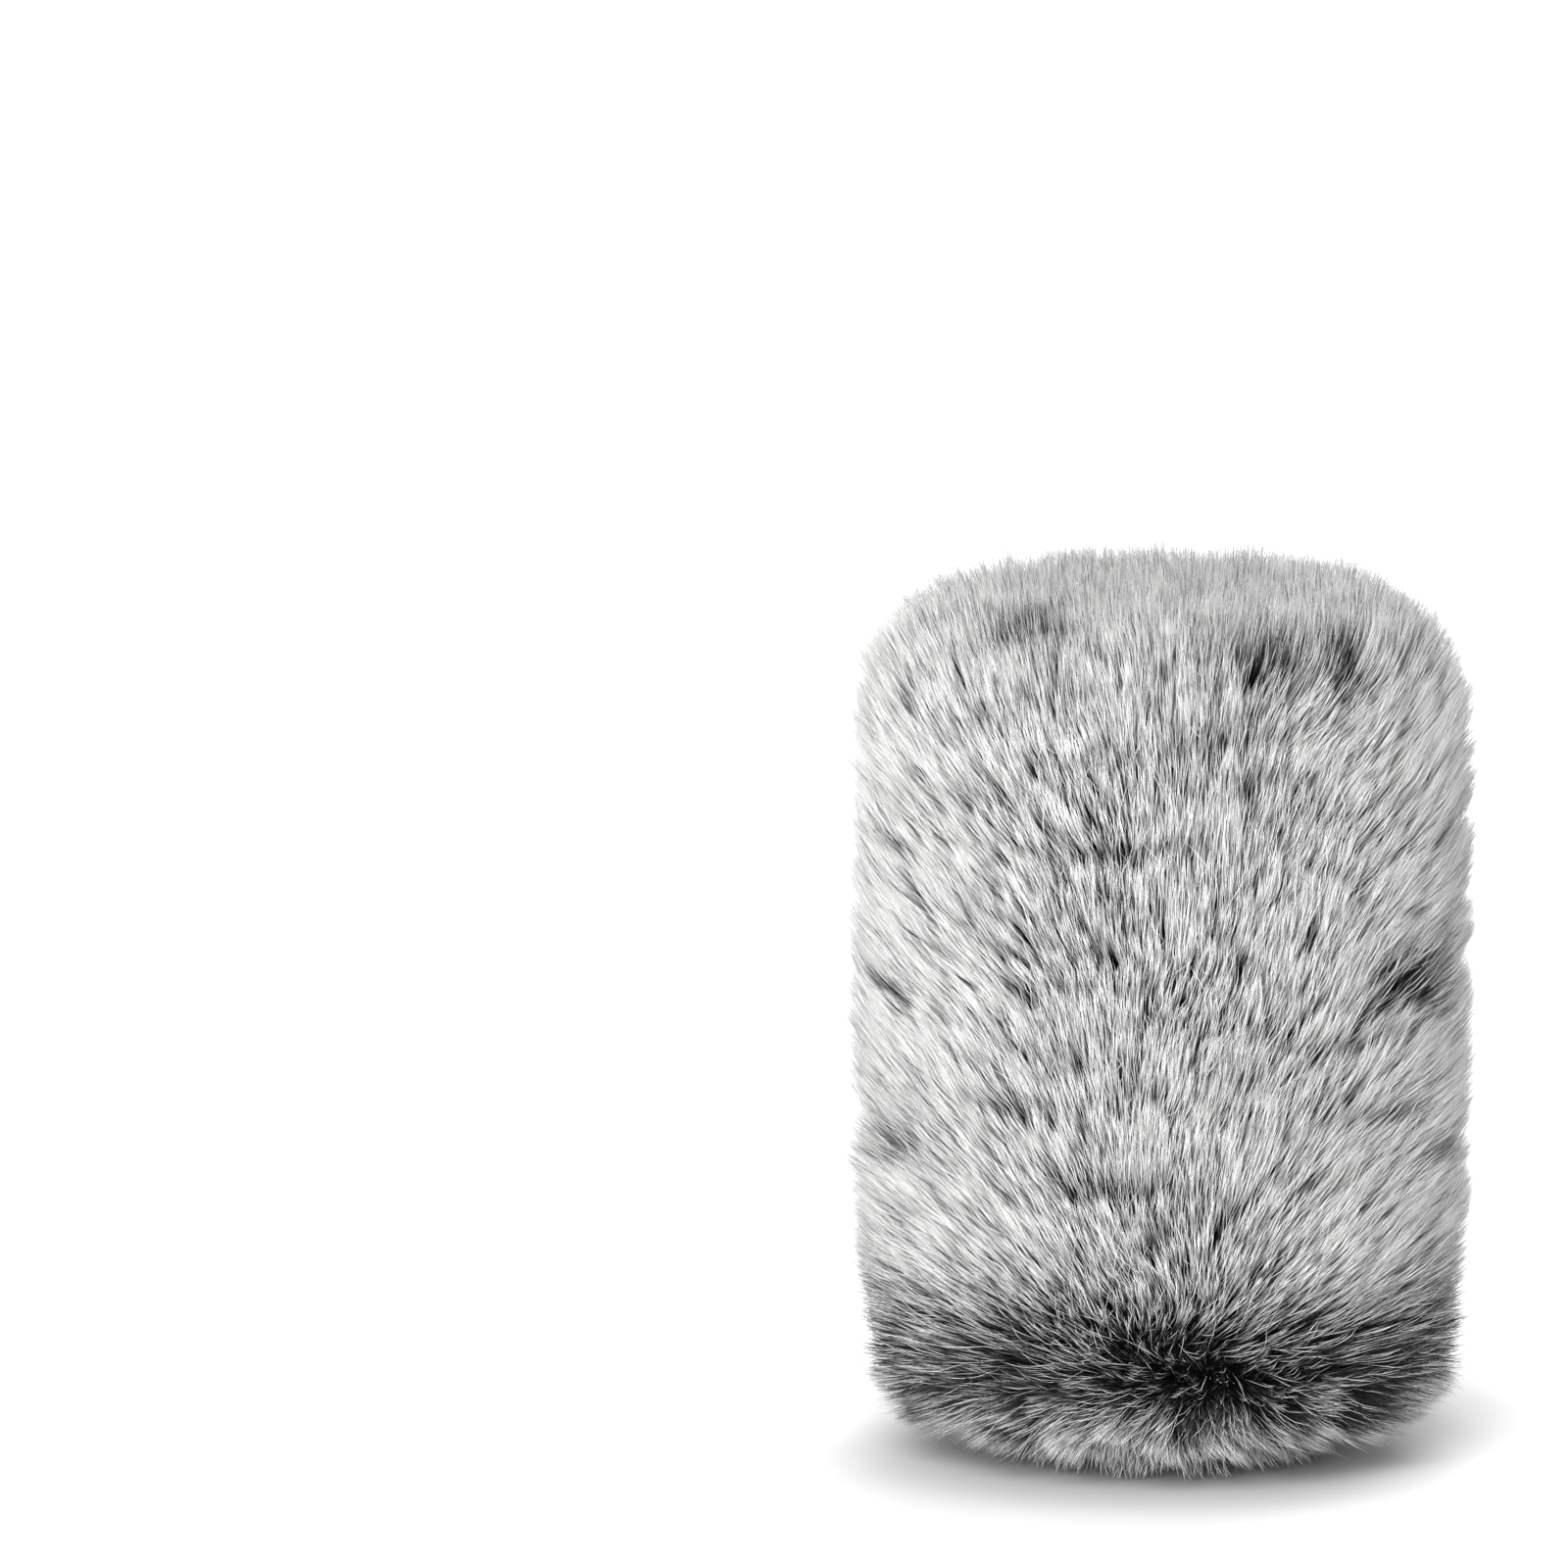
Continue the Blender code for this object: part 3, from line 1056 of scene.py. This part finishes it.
    def mesh(self, name: str, strands: Strands, node: str, mine: Array | slice = slice(None)) -> None:
        """Make strands into one piece.

        Args:
            name: The piece's name.
            strands: The strands.
            node: The CAD node that they stand for.
            mine: Which of the strands go into the piece.
        """
        rings = strands.rings[mine].copy()
        thickness = strands.thickness[mine]
        shade = strands.shade[mine]
        count = len(rings)
        rings[..., 2] = np.maximum(rings[..., 2], self.CLEARANCE + thickness[:, None])
        ahead = rings[:, -1] - rings[:, 1]
        ahead /= np.maximum(np.linalg.norm(ahead, axis=1), 1e-9)[:, None]
        side = np.cross(ahead, np.where(np.abs(ahead[:, 2:3]) > 0.8, [[0.0, 1.0, 0.0]], [[0.0, 0.0, 1.0]]))
        side /= np.linalg.norm(side, axis=1)[:, None]
        other = np.cross(side, ahead)
        start = (shade * 977.0) % math.tau
        points = np.empty((count, self.POINTS, 3))
        for ring, width in enumerate(self.WIDTHS):
            for corner in range(3):
                turn = start + corner * math.tau / 3
                spoke = np.cos(turn)[:, None] * side + np.sin(turn)[:, None] * other
                points[:, ring * 3 + corner] = rings[:, ring] + spoke * (thickness * width)[:, None]
        points[:, 9] = rings[:, 3]
        loops, uv_steps = self.pattern()
        base = (np.arange(count) * self.POINTS)[:, None]
        corners = (base + loops[None]).ravel()
        column = (np.floor(shade * self.columns) + 0.5) / self.columns
        half = self.CARD_HALF / self.columns
        across = column[:, None] + (uv_steps[None, :, 0] - 0.5) * 2 * half
        up = np.broadcast_to(np.array(self.STOPS)[uv_steps[:, 1].astype(int)][None], across.shape)
        uv = np.stack([across, up * 0.99 + 0.005], -1).reshape(-1)
        sizes = np.tile(np.array([4] * 6 + [3] * 3), count)
        mesh = bpy.data.meshes.new(name)
        mesh.vertices.add(count * self.POINTS)
        mesh.vertices.foreach_set("co", points.reshape(-1).astype(np.float32))
        mesh.loops.add(len(corners))
        mesh.loops.foreach_set("vertex_index", corners.astype(np.int32))
        mesh.polygons.add(len(sizes))
        starts = np.concatenate([[0], np.cumsum(sizes)[:-1]])
        mesh.polygons.foreach_set("loop_start", starts.astype(np.int32))
        mesh.polygons.foreach_set("use_smooth", np.ones(len(sizes), bool))
        mesh.update(calc_edges=True)
        layer = mesh.uv_layers.new(name=SHADE_CARD, do_init=False)
        layer.uv.foreach_set("vector", uv.astype(np.float32))
        adopt(mesh, self.finish, node)

    @staticmethod
    def pattern() -> tuple[Array, Array]:
        """One strand's corners and their steps on the card: side 0 or 1 of a face, and ring."""
        loops: list[int] = []
        steps: list[tuple[float, float]] = []
        for ring in range(2):
            for corner in range(3):
                following = (corner + 1) % 3
                below, above = ring * 3, ring * 3 + 3
                loops += [below + corner, below + following, above + following, above + corner]
                steps += [(0, ring), (1, ring), (1, ring + 1), (0, ring + 1)]
        for corner in range(3):
            loops += [6 + corner, 6 + (corner + 1) % 3, 9]
            steps += [(0, 2), (1, 2), (0.5, 3)]
        return np.array(loops), np.array(steps, float)


@dataclass
class FurCover:
    """The three fur panels: backings and pile."""

    cut: Cut
    back: Backing
    crowd: float = 1.28e7
    most_hairs: int = 12800
    neck_hairs: int = 8000
    wisp_hairs: int = 1500
    neck_pile: float = 6.0 * MM
    neck_hair: float = 0.075 * MM
    neck_lean: float = math.radians(58)
    neck_gap: float = 0.1 * MM
    neck_from: float = 3.2 * MM
    neck_short_of: float = 1.0 * MM
    clump_spacing: float = 1.0 * MM
    tuft_spacing: float = 2.3 * MM
    fringe_spacing: float = 1.4 * MM
    seam_dark_above: float = 5.5 * MM
    seam_dark_below: float = 2.5 * MM
    seam_gap: float = 0.5 * MM
    crown_gap: float = 0.4 * MM
    neck_edge: float = 0.2 * MM
    backing_share: float = 0.8
    backing_step: float = 1.2 * MM

    def build(self) -> None:
        """Make the backings and all the pile."""
        fur = FurFinish()
        self.pile = Pile(self.back, self.comb(), fur.make(), fur.columns)
        self.tips = self.pile.fan()
        self.backings()
        self.side()
        self.wisps()
        self.crown()
        self.base()

    def comb(self) -> Comb:
        """The combing, with the places where the pile has fallen open."""
        def gap(turn: float, height: float, wide: float, tall: float, depth: float) -> Parting:
            """A parting from degrees and millimetres."""
            return Parting(math.radians(turn), height * MM, wide * MM, tall * MM, depth)
        front = (
            gap(-3, 61, 5, 1.2, 0.7), gap(-11, 27, 7, 1.2, 0.5), gap(62, 45, 6, 3.4, 1.4),
            gap(42, 40, 4, 1.3, 0.7), gap(-41, 77, 4, 1.7, 1.2), gap(25, 76, 3, 1.8, 1.1),
            gap(-65, 29, 5, 2.2, 1.0), gap(14, 71, 4, 1.2, 0.5), gap(-32, 34, 4, 1.1, 0.9),
            gap(-70, 44, 5, 1.0, 0.8), gap(52, 33, 4, 1.3, 0.8), gap(71, 28, 4, 1.6, 0.9),
            gap(68, 74, 4, 1.4, 0.8), gap(22, 67, 3, 1.1, 0.6), gap(45, 75, 3, 1.8, 1.1),
            gap(-66, 58, 4, 1.0, 0.6), gap(74, 58, 5, 1.2, 0.8))
        behind = (
            gap(112, 56, 6, 2.2, 0.8), gap(150, 30, 7, 2.0, 0.7), gap(-118, 62, 5, 2.4, 0.8),
            gap(-150, 40, 6, 2.0, 0.7), gap(96, 24, 5, 2.2, 0.6), gap(180, 68, 4, 2.2, 0.7))
        return Comb(partings=front + behind)

    def kinds(self, rng: np.random.Generator, count: int, dark: Array) -> list[Layer]:
        """Draw each strand's kind.

        Args:
            rng: Where chance comes from.
            count: How many strands.
            dark: How much of the paler hair each place has lost, from 0 to 1.

        Returns:
            The kinds.
        """
        draw = rng.random(count)
        under = Layer.UNDERFUR.share + dark * 0.45
        middle = under + Layer.MIDDLE.share * (1 - dark * 0.6)
        return [Layer.UNDERFUR if d < u else Layer.MIDDLE if d < m else Layer.GUARD
                for d, u, m in zip(draw, under, middle, strict=True)]

    def strew(self, name: str, node: str, turn: Array, strands: Strands) -> None:
        """Share a panel's strands out among pieces round the axis.

        Args:
            name: The pieces' name, without their number.
            node: The CAD node that they stand for.
            turn: The strands' angles round the axis.
            strands: The strands.
        """
        pieces = math.ceil(len(turn) / self.most_hairs)
        order = np.argsort(turn)
        for i, mine in enumerate(np.array_split(order, pieces)):
            self.pile.mesh(f"{name}_{i + 1}", strands, node, mine)

    def side(self) -> None:
        """The side panel's pile."""
        rng = np.random.default_rng(11)
        at, turn = self.back.scatter(rng, self.tips, self.back.foot_at, self.back.seam_at, self.crowd)
        near = np.exp(-((at - self.back.foot_at) / self.seam_dark_above) ** 2)
        open_by, _ = self.pile.opened(self.pile.frames(at, turn)[0])
        thin = rng.random(len(at)) > np.maximum(near * 0.3, np.minimum(open_by, 1.0) * 0.4)
        at, turn, near = at[thin], turn[thin], near[thin]
        layers = self.kinds(rng, len(at), near * 0.8)
        # Near the base seam the pile is thinned and drawn from darker kinds, so dark roots and underfur show;
        # the lift there is painted shade that darkens every hair, guard hair too.
        strands = self.pile.grow(at, turn, layers, 21, self.clump_spacing, ruffle=1 + 2.2 * near,
                                 pull=0.28 + 0.37 * near, painted_shade=-0.5 * near)
        self.strew("fur_side_pile", "fur_side_panel", turn, strands)

    def wisps(self) -> None:
        """Loose pale strands that cross the dark parting over the base seam."""
        rng = np.random.default_rng(15)
        count = self.wisp_hairs
        at = self.back.foot_at + rng.normal(1.5 * MM, 3.5 * MM, count)
        turn = rng.random(count) * math.tau
        strands = self.pile.grow(at, turn, [Layer.GUARD] * count, 51, 2.5 * MM, ruffle=4.0, pull=0.0)
        strands.thickness *= 0.75
        self.pile.mesh("fur_seam_wisps", strands, "fur_side_panel")

    def crown(self) -> None:
        """The crown panel's pile."""
        rng = np.random.default_rng(12)
        at, turn = self.back.scatter(rng, self.tips, self.back.seam_at, self.back.total, self.crowd)
        layers = self.kinds(rng, len(at), np.zeros(len(at)))
        # Painted shade: the crown's pile sits lower on the card, so the top, which the light reaches most,
        # reads darker.
        strands = self.pile.grow(at, turn, layers, 31, self.clump_spacing, ruffle=1.3, pull=0.26, painted_shade=-0.13)
        self.strew("fur_crown_pile", "fur_crown_panel", turn, strands)

    def base(self) -> None:
        """The base panel's pile and the fringe round the neck."""
        rng = np.random.default_rng(13)
        at, turn = self.back.scatter(rng, self.tips, 0.0, self.back.foot_at, self.crowd)
        near = np.exp(-((self.back.foot_at - at) / self.seam_dark_below) ** 2)
        layers = self.kinds(rng, len(at), near * 0.6 + 0.2)
        # The lift is painted shade: the whole base, on the underside, sits lower on the card, and most near
        # the seam.
        strands = self.pile.grow(at, turn, layers, 41, self.tuft_spacing, ruffle=1.2 + 1.5 * near, pull=0.45,
                                 painted_shade=-0.08 - 0.3 * near, tufts=2.2)
        self.strew("fur_base_pile", "fur_base_panel", turn, strands)
        self.fringe()

    def fringe(self) -> None:
        """The pile that hangs round the neck, from the base panel's turned-down edge."""
        rng = np.random.default_rng(14)
        count = self.neck_hairs
        turn = rng.random(count) * math.tau
        level = np.stack([np.cos(turn), np.sin(turn), np.zeros(count)], -1)
        around = np.stack([-np.sin(turn), np.cos(turn), np.zeros(count)], -1)
        room = self.cut.back_low - self.neck_from - self.neck_short_of
        height = self.neck_from + rng.random(count) * room
        root = level * (self.cut.neck + self.neck_gap) + np.array([0, 0, 1.0]) * height[:, None]
        down = np.broadcast_to(np.array([0, 0, -1.0]), root.shape)
        layers = self.kinds(rng, count, np.zeros(count))
        share = np.array([1 - layer.under / (10 * MM) for layer in layers])
        clump, centre = self.pile.clumps(root, rng, self.fringe_spacing)
        sway = rng.normal(0, 0.2, len(centre))
        lean = self.neck_lean - (height / self.cut.back_low) * 0.35 + rng.normal(0, 0.14, count)
        twist = sway[clump] + rng.normal(0, 0.18, count)
        length = self.neck_pile * share * rng.normal(1, 0.09, count)
        # Painted shade: the fringe under the windscreen sits lower on the card than the rest of the pile.
        shade = self.pile.on_card(self.pile.card_places(layers, rng) - 0.22)
        bend = rng.normal(0, 0.15, count)
        bend_side = rng.normal(0, 0.2, count)
        strands = Strands(root, level, down, around, lean, np.full(count, 0.4), twist, length,
                          np.full(count, self.neck_hair), shade, bend, bend_side)
        self.pile.gather(strands, clump, centre, np.full(count, 0.35))
        self.pile.mesh("fur_neck_fringe", strands, "fur_base_panel")

    def backings(self) -> None:
        """The three knitted backings, thin closed sheets under the pile."""
        knit = KnitFinish("knit_backing", 0.02).make()
        back = self.back
        self.sheet("side", back.foot_at + self.seam_gap, back.seam_at - self.crown_gap, knit)
        self.sheet("crown", back.seam_at + self.crown_gap, back.total, knit)
        self.sheet("base", self.neck_edge, back.foot_at - self.seam_gap, knit)

    def sheet(self, panel: str, low: float, high: float, finish: bpy.types.Material) -> None:
        """One panel's backing.

        Args:
            panel: The panel's name.
            low: Where it starts along the outline.
            high: Where it ends.
            finish: Its material.
        """
        thick = self.cut.backing * self.backing_share
        at = np.linspace(low, high, max(8, int((high - low) / self.backing_step)))
        radius, height, normal = self.back.read(at)
        inner_radius = radius - thick * np.cos(normal)
        inner_height = height - thick * np.sin(normal)
        if high >= self.back.total:
            inner_radius[-1] = 0.0
        outer = np.stack([radius, height], -1)[::-1]
        inner = np.stack([np.maximum(inner_radius, 0.0), inner_height], -1)
        points, faces = turned(np.concatenate([outer, inner]), 96, closed=True)
        piece = adopt(welded(f"fur_{panel}_backing", points, faces), finish, f"fur_{panel}_panel")


# ---------------------------------------------------------------- foam, neck and seams


@dataclass
class Foam:
    """The foam core, with its cells open at the surface."""

    cut: Cut
    nose: float = 12.0 * MM
    foot: float = 2.5 * MM
    lead: float = 1.2 * MM
    end_round: float = 2.0 * MM
    roughness: float = 0.11 * MM
    ripples: int = 28
    ripple_share: float = 5.3
    ripple_length: float = 1.5 * MM

    def build(self) -> None:
        cut = self.cut
        end = cut.foam_high - self.nose
        points = [(0.0, cut.foam_high)]
        points += arc(cut.shoulder_centre, cut.shoulder, math.pi / 2, 0.0, 10)
        foot_centre = (cut.foam_radius - self.foot, cut.foam_low + self.foot)
        points += arc(foot_centre, self.foot, 0.0, -math.pi / 2, 8)
        points.append((cut.bore + self.lead, cut.foam_low))
        points.append((cut.bore, cut.foam_low + self.lead))
        points += arc((cut.bore - self.end_round, end - self.end_round), self.end_round, 0.0, math.pi / 2, 6)
        points.append((0.0, end))
        outline = self.finely(np.array(points), 0.7 * MM)
        grid, faces = turned(outline, 160, closed=False)
        mesh = welded("foam_body", self.rough(grid), faces)
        piece = adopt(mesh, FoamFinish().make(), "foam_core")

    @staticmethod
    def finely(points: Array, step: float) -> Array:
        """The outline again, with points about a step apart."""
        lengths = np.concatenate([[0], np.cumsum(np.linalg.norm(np.diff(points, axis=0), axis=1))])
        extra = np.arange(0, lengths[-1], step)
        at = np.unique(np.concatenate([lengths, extra]).round(7))
        return np.stack([np.interp(at, lengths, points[:, 0]), np.interp(at, lengths, points[:, 1])], -1)

    def rough(self, points: Array) -> Array:
        """Open the cells: move each point in or out a little, alike wherever points meet."""
        rng = np.random.default_rng(5)
        total = np.zeros(len(points))
        for _ in range(self.ripples):
            way = rng.normal(size=3)
            way *= math.tau / self.ripple_length / np.linalg.norm(way) * rng.uniform(0.5, 1.3)
            total += np.sin(points @ way + rng.uniform(0, math.tau))
        reach = np.hypot(points[:, 0], points[:, 1])
        level = points[:, :2] / np.maximum(reach, 1e-9)[:, None]
        away = (reach > 1 * MM)[:, None]
        moved = points.copy()
        moved[:, :2] += np.where(away, level * (total / self.ripple_share * self.roughness)[:, None], 0)
        return moved


@dataclass
class Neck:
    """The bound neck: a folded knitted tape with elastic in it, closed by a line of stitches."""

    cut: Cut
    thread: bpy.types.Material
    wall: float = 0.8 * MM
    floor: float = 2.6 * MM
    corner: float = 0.4 * MM
    gathered: float = 1.1
    ribs: int = 72
    rib_height: float = 0.09 * MM
    waves: int = 9
    wave_height: float = 0.05 * MM
    elastic: float = 0.5 * MM
    cords: int = 7
    cord_height: float = 0.07 * MM
    stitches: int = 40
    stitch_height: float = 2.1 * MM
    thread_radius: float = 0.13 * MM
    proud: float = 0.1 * MM

    def build(self) -> None:
        """Make the binding, the elastic and the hem's stitches."""
        self.binding()
        self.band()
        self.hem()

    def binding(self) -> None:
        """The folded tape, ribbed and slightly gathered by the elastic."""
        low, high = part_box("neck_binding")
        outer, inner = high[0], self.cut.bore
        floor = low[2] + self.floor
        fold = (outer - inner) / 2
        points = [(outer - self.wall, high[2]), (outer, high[2])]
        points += [(outer, z) for z in np.linspace(high[2] - 1 * MM, low[2] + fold, 8)]
        points += arc(((outer + inner) / 2, low[2] + fold), fold, 0.0, -math.pi, 12)[1:-1]
        points += [(inner, z) for z in np.linspace(low[2] + fold, high[2], 9)]
        near, far = inner + self.wall, outer - self.wall
        points += [(near, high[2]), (near, floor + self.corner), (near + 0.75 * self.corner, floor),
                   (far - 0.75 * self.corner, floor), (far, floor + self.corner)]
        outline = np.array(points)
        middle = (outer + inner) / 2
        skin = np.array([r >= outer - 1e-6 or r <= inner + 1e-6 or z < low[2] + fold for r, z in points])

        def ribbed(angle: Array, line: Array) -> Array:
            """Ribs on the tape's faces, sunk towards its middle."""
            rib = np.cos(angle * self.ribs) * self.rib_height
            rib = rib + np.cos(angle * self.waves + 1.0) * self.wave_height
            out = line - np.array([middle, low[2] + fold])
            way = out / np.maximum(np.linalg.norm(out, axis=-1), 1e-9)[..., None]
            way = np.where(line[..., 1:] > low[2] + fold, np.sign(out) * np.array([1.0, 0.0]), way)
            inward = np.minimum(rib - self.rib_height, 0.0)[..., None]
            return way * inward * skin[None, :, None]

        grid, faces = turned(outline, self.ribs * 8, closed=True, wobble=ribbed)
        mesh = welded("neck_tape", grid, faces)
        knit = KnitFinish("knit_tape", 0.03, 144, 0.5 * MM).make()
        piece = adopt(mesh, knit, "neck_binding")

    def band(self) -> None:
        """The flat braided elastic."""
        low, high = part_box("neck_elastic")
        outer = high[0]
        inner = outer - self.elastic
        heights = np.linspace(high[2], low[2], 2 * self.cords + 1)
        cord = np.abs(np.sin(np.linspace(0, math.pi * self.cords, len(heights)))) * self.cord_height
        points = [(outer - self.cord_height + c, z) for c, z in zip(cord, heights, strict=True)]
        points += [(inner + self.cord_height - c, z) for c, z in zip(cord[::-1], heights[::-1], strict=True)]
        grid, faces = turned(np.array(points), 96, closed=True)
        mesh = welded("elastic_band", grid, faces)
        adopt(mesh, ThreadFinish("elastic_band", 0.03, 0.9 * MM).make(), "neck_elastic")

    def hem(self) -> None:
        """Stitches through both faces of the binding: a dash inside, a dash outside, and so on round."""
        low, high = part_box("neck_binding")
        outer, inner = high[0], self.cut.bore
        height = low[2] + self.stitch_height
        under = self.proud / 5
        steps = ((0.06, inner + under), (0.28, inner - self.proud), (0.5, inner + under),
                 (0.6, outer - under), (0.76, outer + self.proud), (0.94, outer - under))
        path = []
        for i in range(self.stitches):
            for part, radius in steps:
                angle = (i + part) * math.tau / self.stitches
                path.append((radius * math.cos(angle), radius * math.sin(angle), height))
        points, faces = tube(np.array(path), self.thread_radius, ring=True)
        adopt(smooth_mesh("hem_stitches", points, faces), self.thread, "hem_seam_thread")


@dataclass
class Seams:
    """The stitching that joins the three panels, in the room behind their edges."""

    thread: bpy.types.Material
    stitch: float = 2.2 * MM
    thickness: float = 0.16 * MM
    swing: float = 0.32 * MM

    def build(self) -> None:
        """Make the side, crown and base seams."""
        for node, name in (("crown_seam_thread", "crown_stitches"), ("base_seam_thread", "base_stitches")):
            low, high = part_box(node)
            self.ring(name, node, high[0] - (high[2] - low[2]) / 2, (low[2] + high[2]) / 2)
        self.side()

    def ring(self, name: str, node: str, radius: float, height: float) -> None:
        """A zigzag round the axis.

        Args:
            name: The piece's name.
            node: The CAD node that it stands for.
            radius: Its middle radius.
            height: Its middle height.
        """
        count = int(math.tau * radius / self.stitch) * 4
        angle = np.arange(count) * math.tau / count
        phase = np.arange(count) * math.pi / 2
        path = np.stack([(radius + self.swing * 0.4 * np.cos(phase)) * np.cos(angle),
                         (radius + self.swing * 0.4 * np.cos(phase)) * np.sin(angle),
                         height + self.swing * 0.6 * np.sin(phase)], -1)
        points, faces = tube(path, self.thickness, ring=True)
        adopt(smooth_mesh(name, points, faces), self.thread, node)

    def side(self) -> None:
        """A zigzag up the back."""
        low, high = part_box("side_seam_thread")
        count = int((high[2] - low[2]) / self.stitch) * 4
        phase = np.arange(count + 1) * math.pi / 2
        height = np.linspace(low[2] + self.thickness, high[2] - self.thickness, count + 1)
        middle = (low[1] + high[1]) / 2
        path = np.stack([self.swing * np.sin(phase), middle + 0.1 * MM * np.cos(phase), height], -1)
        points, faces = tube(path, self.thickness)
        adopt(smooth_mesh("side_stitches", points, faces), self.thread, "side_seam_thread")


# ---------------------------------------------------------------- studio


@dataclass
class Studio:
    """A white sweep, soft light and a long lens a little above the windscreen."""

    elevation: float = math.radians(10.5)
    distance: float = 3.0
    frame_width: float = 155.7 * MM
    aside: float = 37.5 * MM
    below: float = 21.7 * MM
    look_height: float = 45.0 * MM
    sensor: float = 36.0
    surround: float = 0.37
    floor_half: float = 14.0

    def camera(self) -> None:
        """Set the camera."""
        lens = bpy.data.cameras.new("camera")
        lens.sensor_width = self.sensor
        lens.lens = lens.sensor_width * self.distance / self.frame_width
        lens.clip_start = 0.05
        lens.clip_end = 40.0
        view = Vector((0.0, math.cos(self.elevation), -math.sin(self.elevation)))
        right = Vector((1.0, 0.0, 0.0))
        up = right.cross(view)
        target = Vector((0.0, 0.0, self.look_height)) - right * self.aside + up * self.below
        ob = bpy.data.objects.new("camera", lens)
        ob.matrix_world = self.aimed(target - view * self.distance, target)
        bpy.context.scene.collection.objects.link(ob)
        bpy.context.scene.camera = ob

    def build(self) -> None:
        """Lay the floor and hang the lights."""
        self.floor()
        self.world()
        self.lamp("key", (-0.42, -1.5, 0.7), 1.4, 66.0)
        self.lamp("back", (0.5, 1.5, 0.9), 1.6, 34.0)
        bpy.context.scene.view_settings.view_transform = "Standard"

    def floor(self) -> None:
        """The floor, far wider than the view."""
        half = self.floor_half
        corners = [(-half, -half, 0), (half, -half, 0), (half, half, 0), (-half, half, 0)]
        mesh = bpy.data.meshes.new("floor")
        mesh.from_pydata(corners, [], [(0, 1, 2, 3)])
        mesh.materials.append(FloorFinish().make())
        ob = bpy.data.objects.new("floor", mesh)
        bpy.context.scene.collection.objects.link(ob)

    def world(self) -> None:
        """An even white surround."""
        world = bpy.data.worlds.new("surround")
        world.use_nodes = True
        back = world.node_tree.nodes["Background"]
        back.inputs["Color"].default_value = (1.0, 1.0, 1.0, 1.0)
        back.inputs["Strength"].default_value = self.surround
        bpy.context.scene.world = world

    def lamp(self, name: str, place: tuple[float, float, float], size: float, power: float) -> None:
        """A square soft light that faces the windscreen.

        Args:
            name: Its name.
            place: Where it hangs, in metres.
            size: Its side.
            power: Its power in watts.
        """
        light = bpy.data.lights.new(name, "AREA")
        light.shape = "SQUARE"
        light.size = size
        light.energy = power
        ob = bpy.data.objects.new(name, light)
        ob.matrix_world = self.aimed(Vector(place), Vector((0.0, 0.0, self.look_height)))
        bpy.context.scene.collection.objects.link(ob)

    @staticmethod
    def aimed(place: Vector, target: Vector) -> Matrix:
        """The pose of a camera or lamp that looks from a place at a target."""
        turn = (target - place).to_track_quat("-Z", "Y").to_matrix().to_4x4()
        return Matrix.Translation(place) @ turn


def main() -> None:
    """Build the studio and the windscreen."""
    logging.basicConfig(level=logging.INFO, format="%(name)s %(message)s")
    studio = Studio()
    studio.camera()
    cut = Cut()
    back = Backing(cut)
    Foam(cut).build()
    FurCover(cut, back).build()
    thread = ThreadFinish("sewing_thread", 0.09).make()
    Neck(cut, thread).build()
    Seams(thread).build()
    studio.build()


if __name__ == "__main__":
    main()
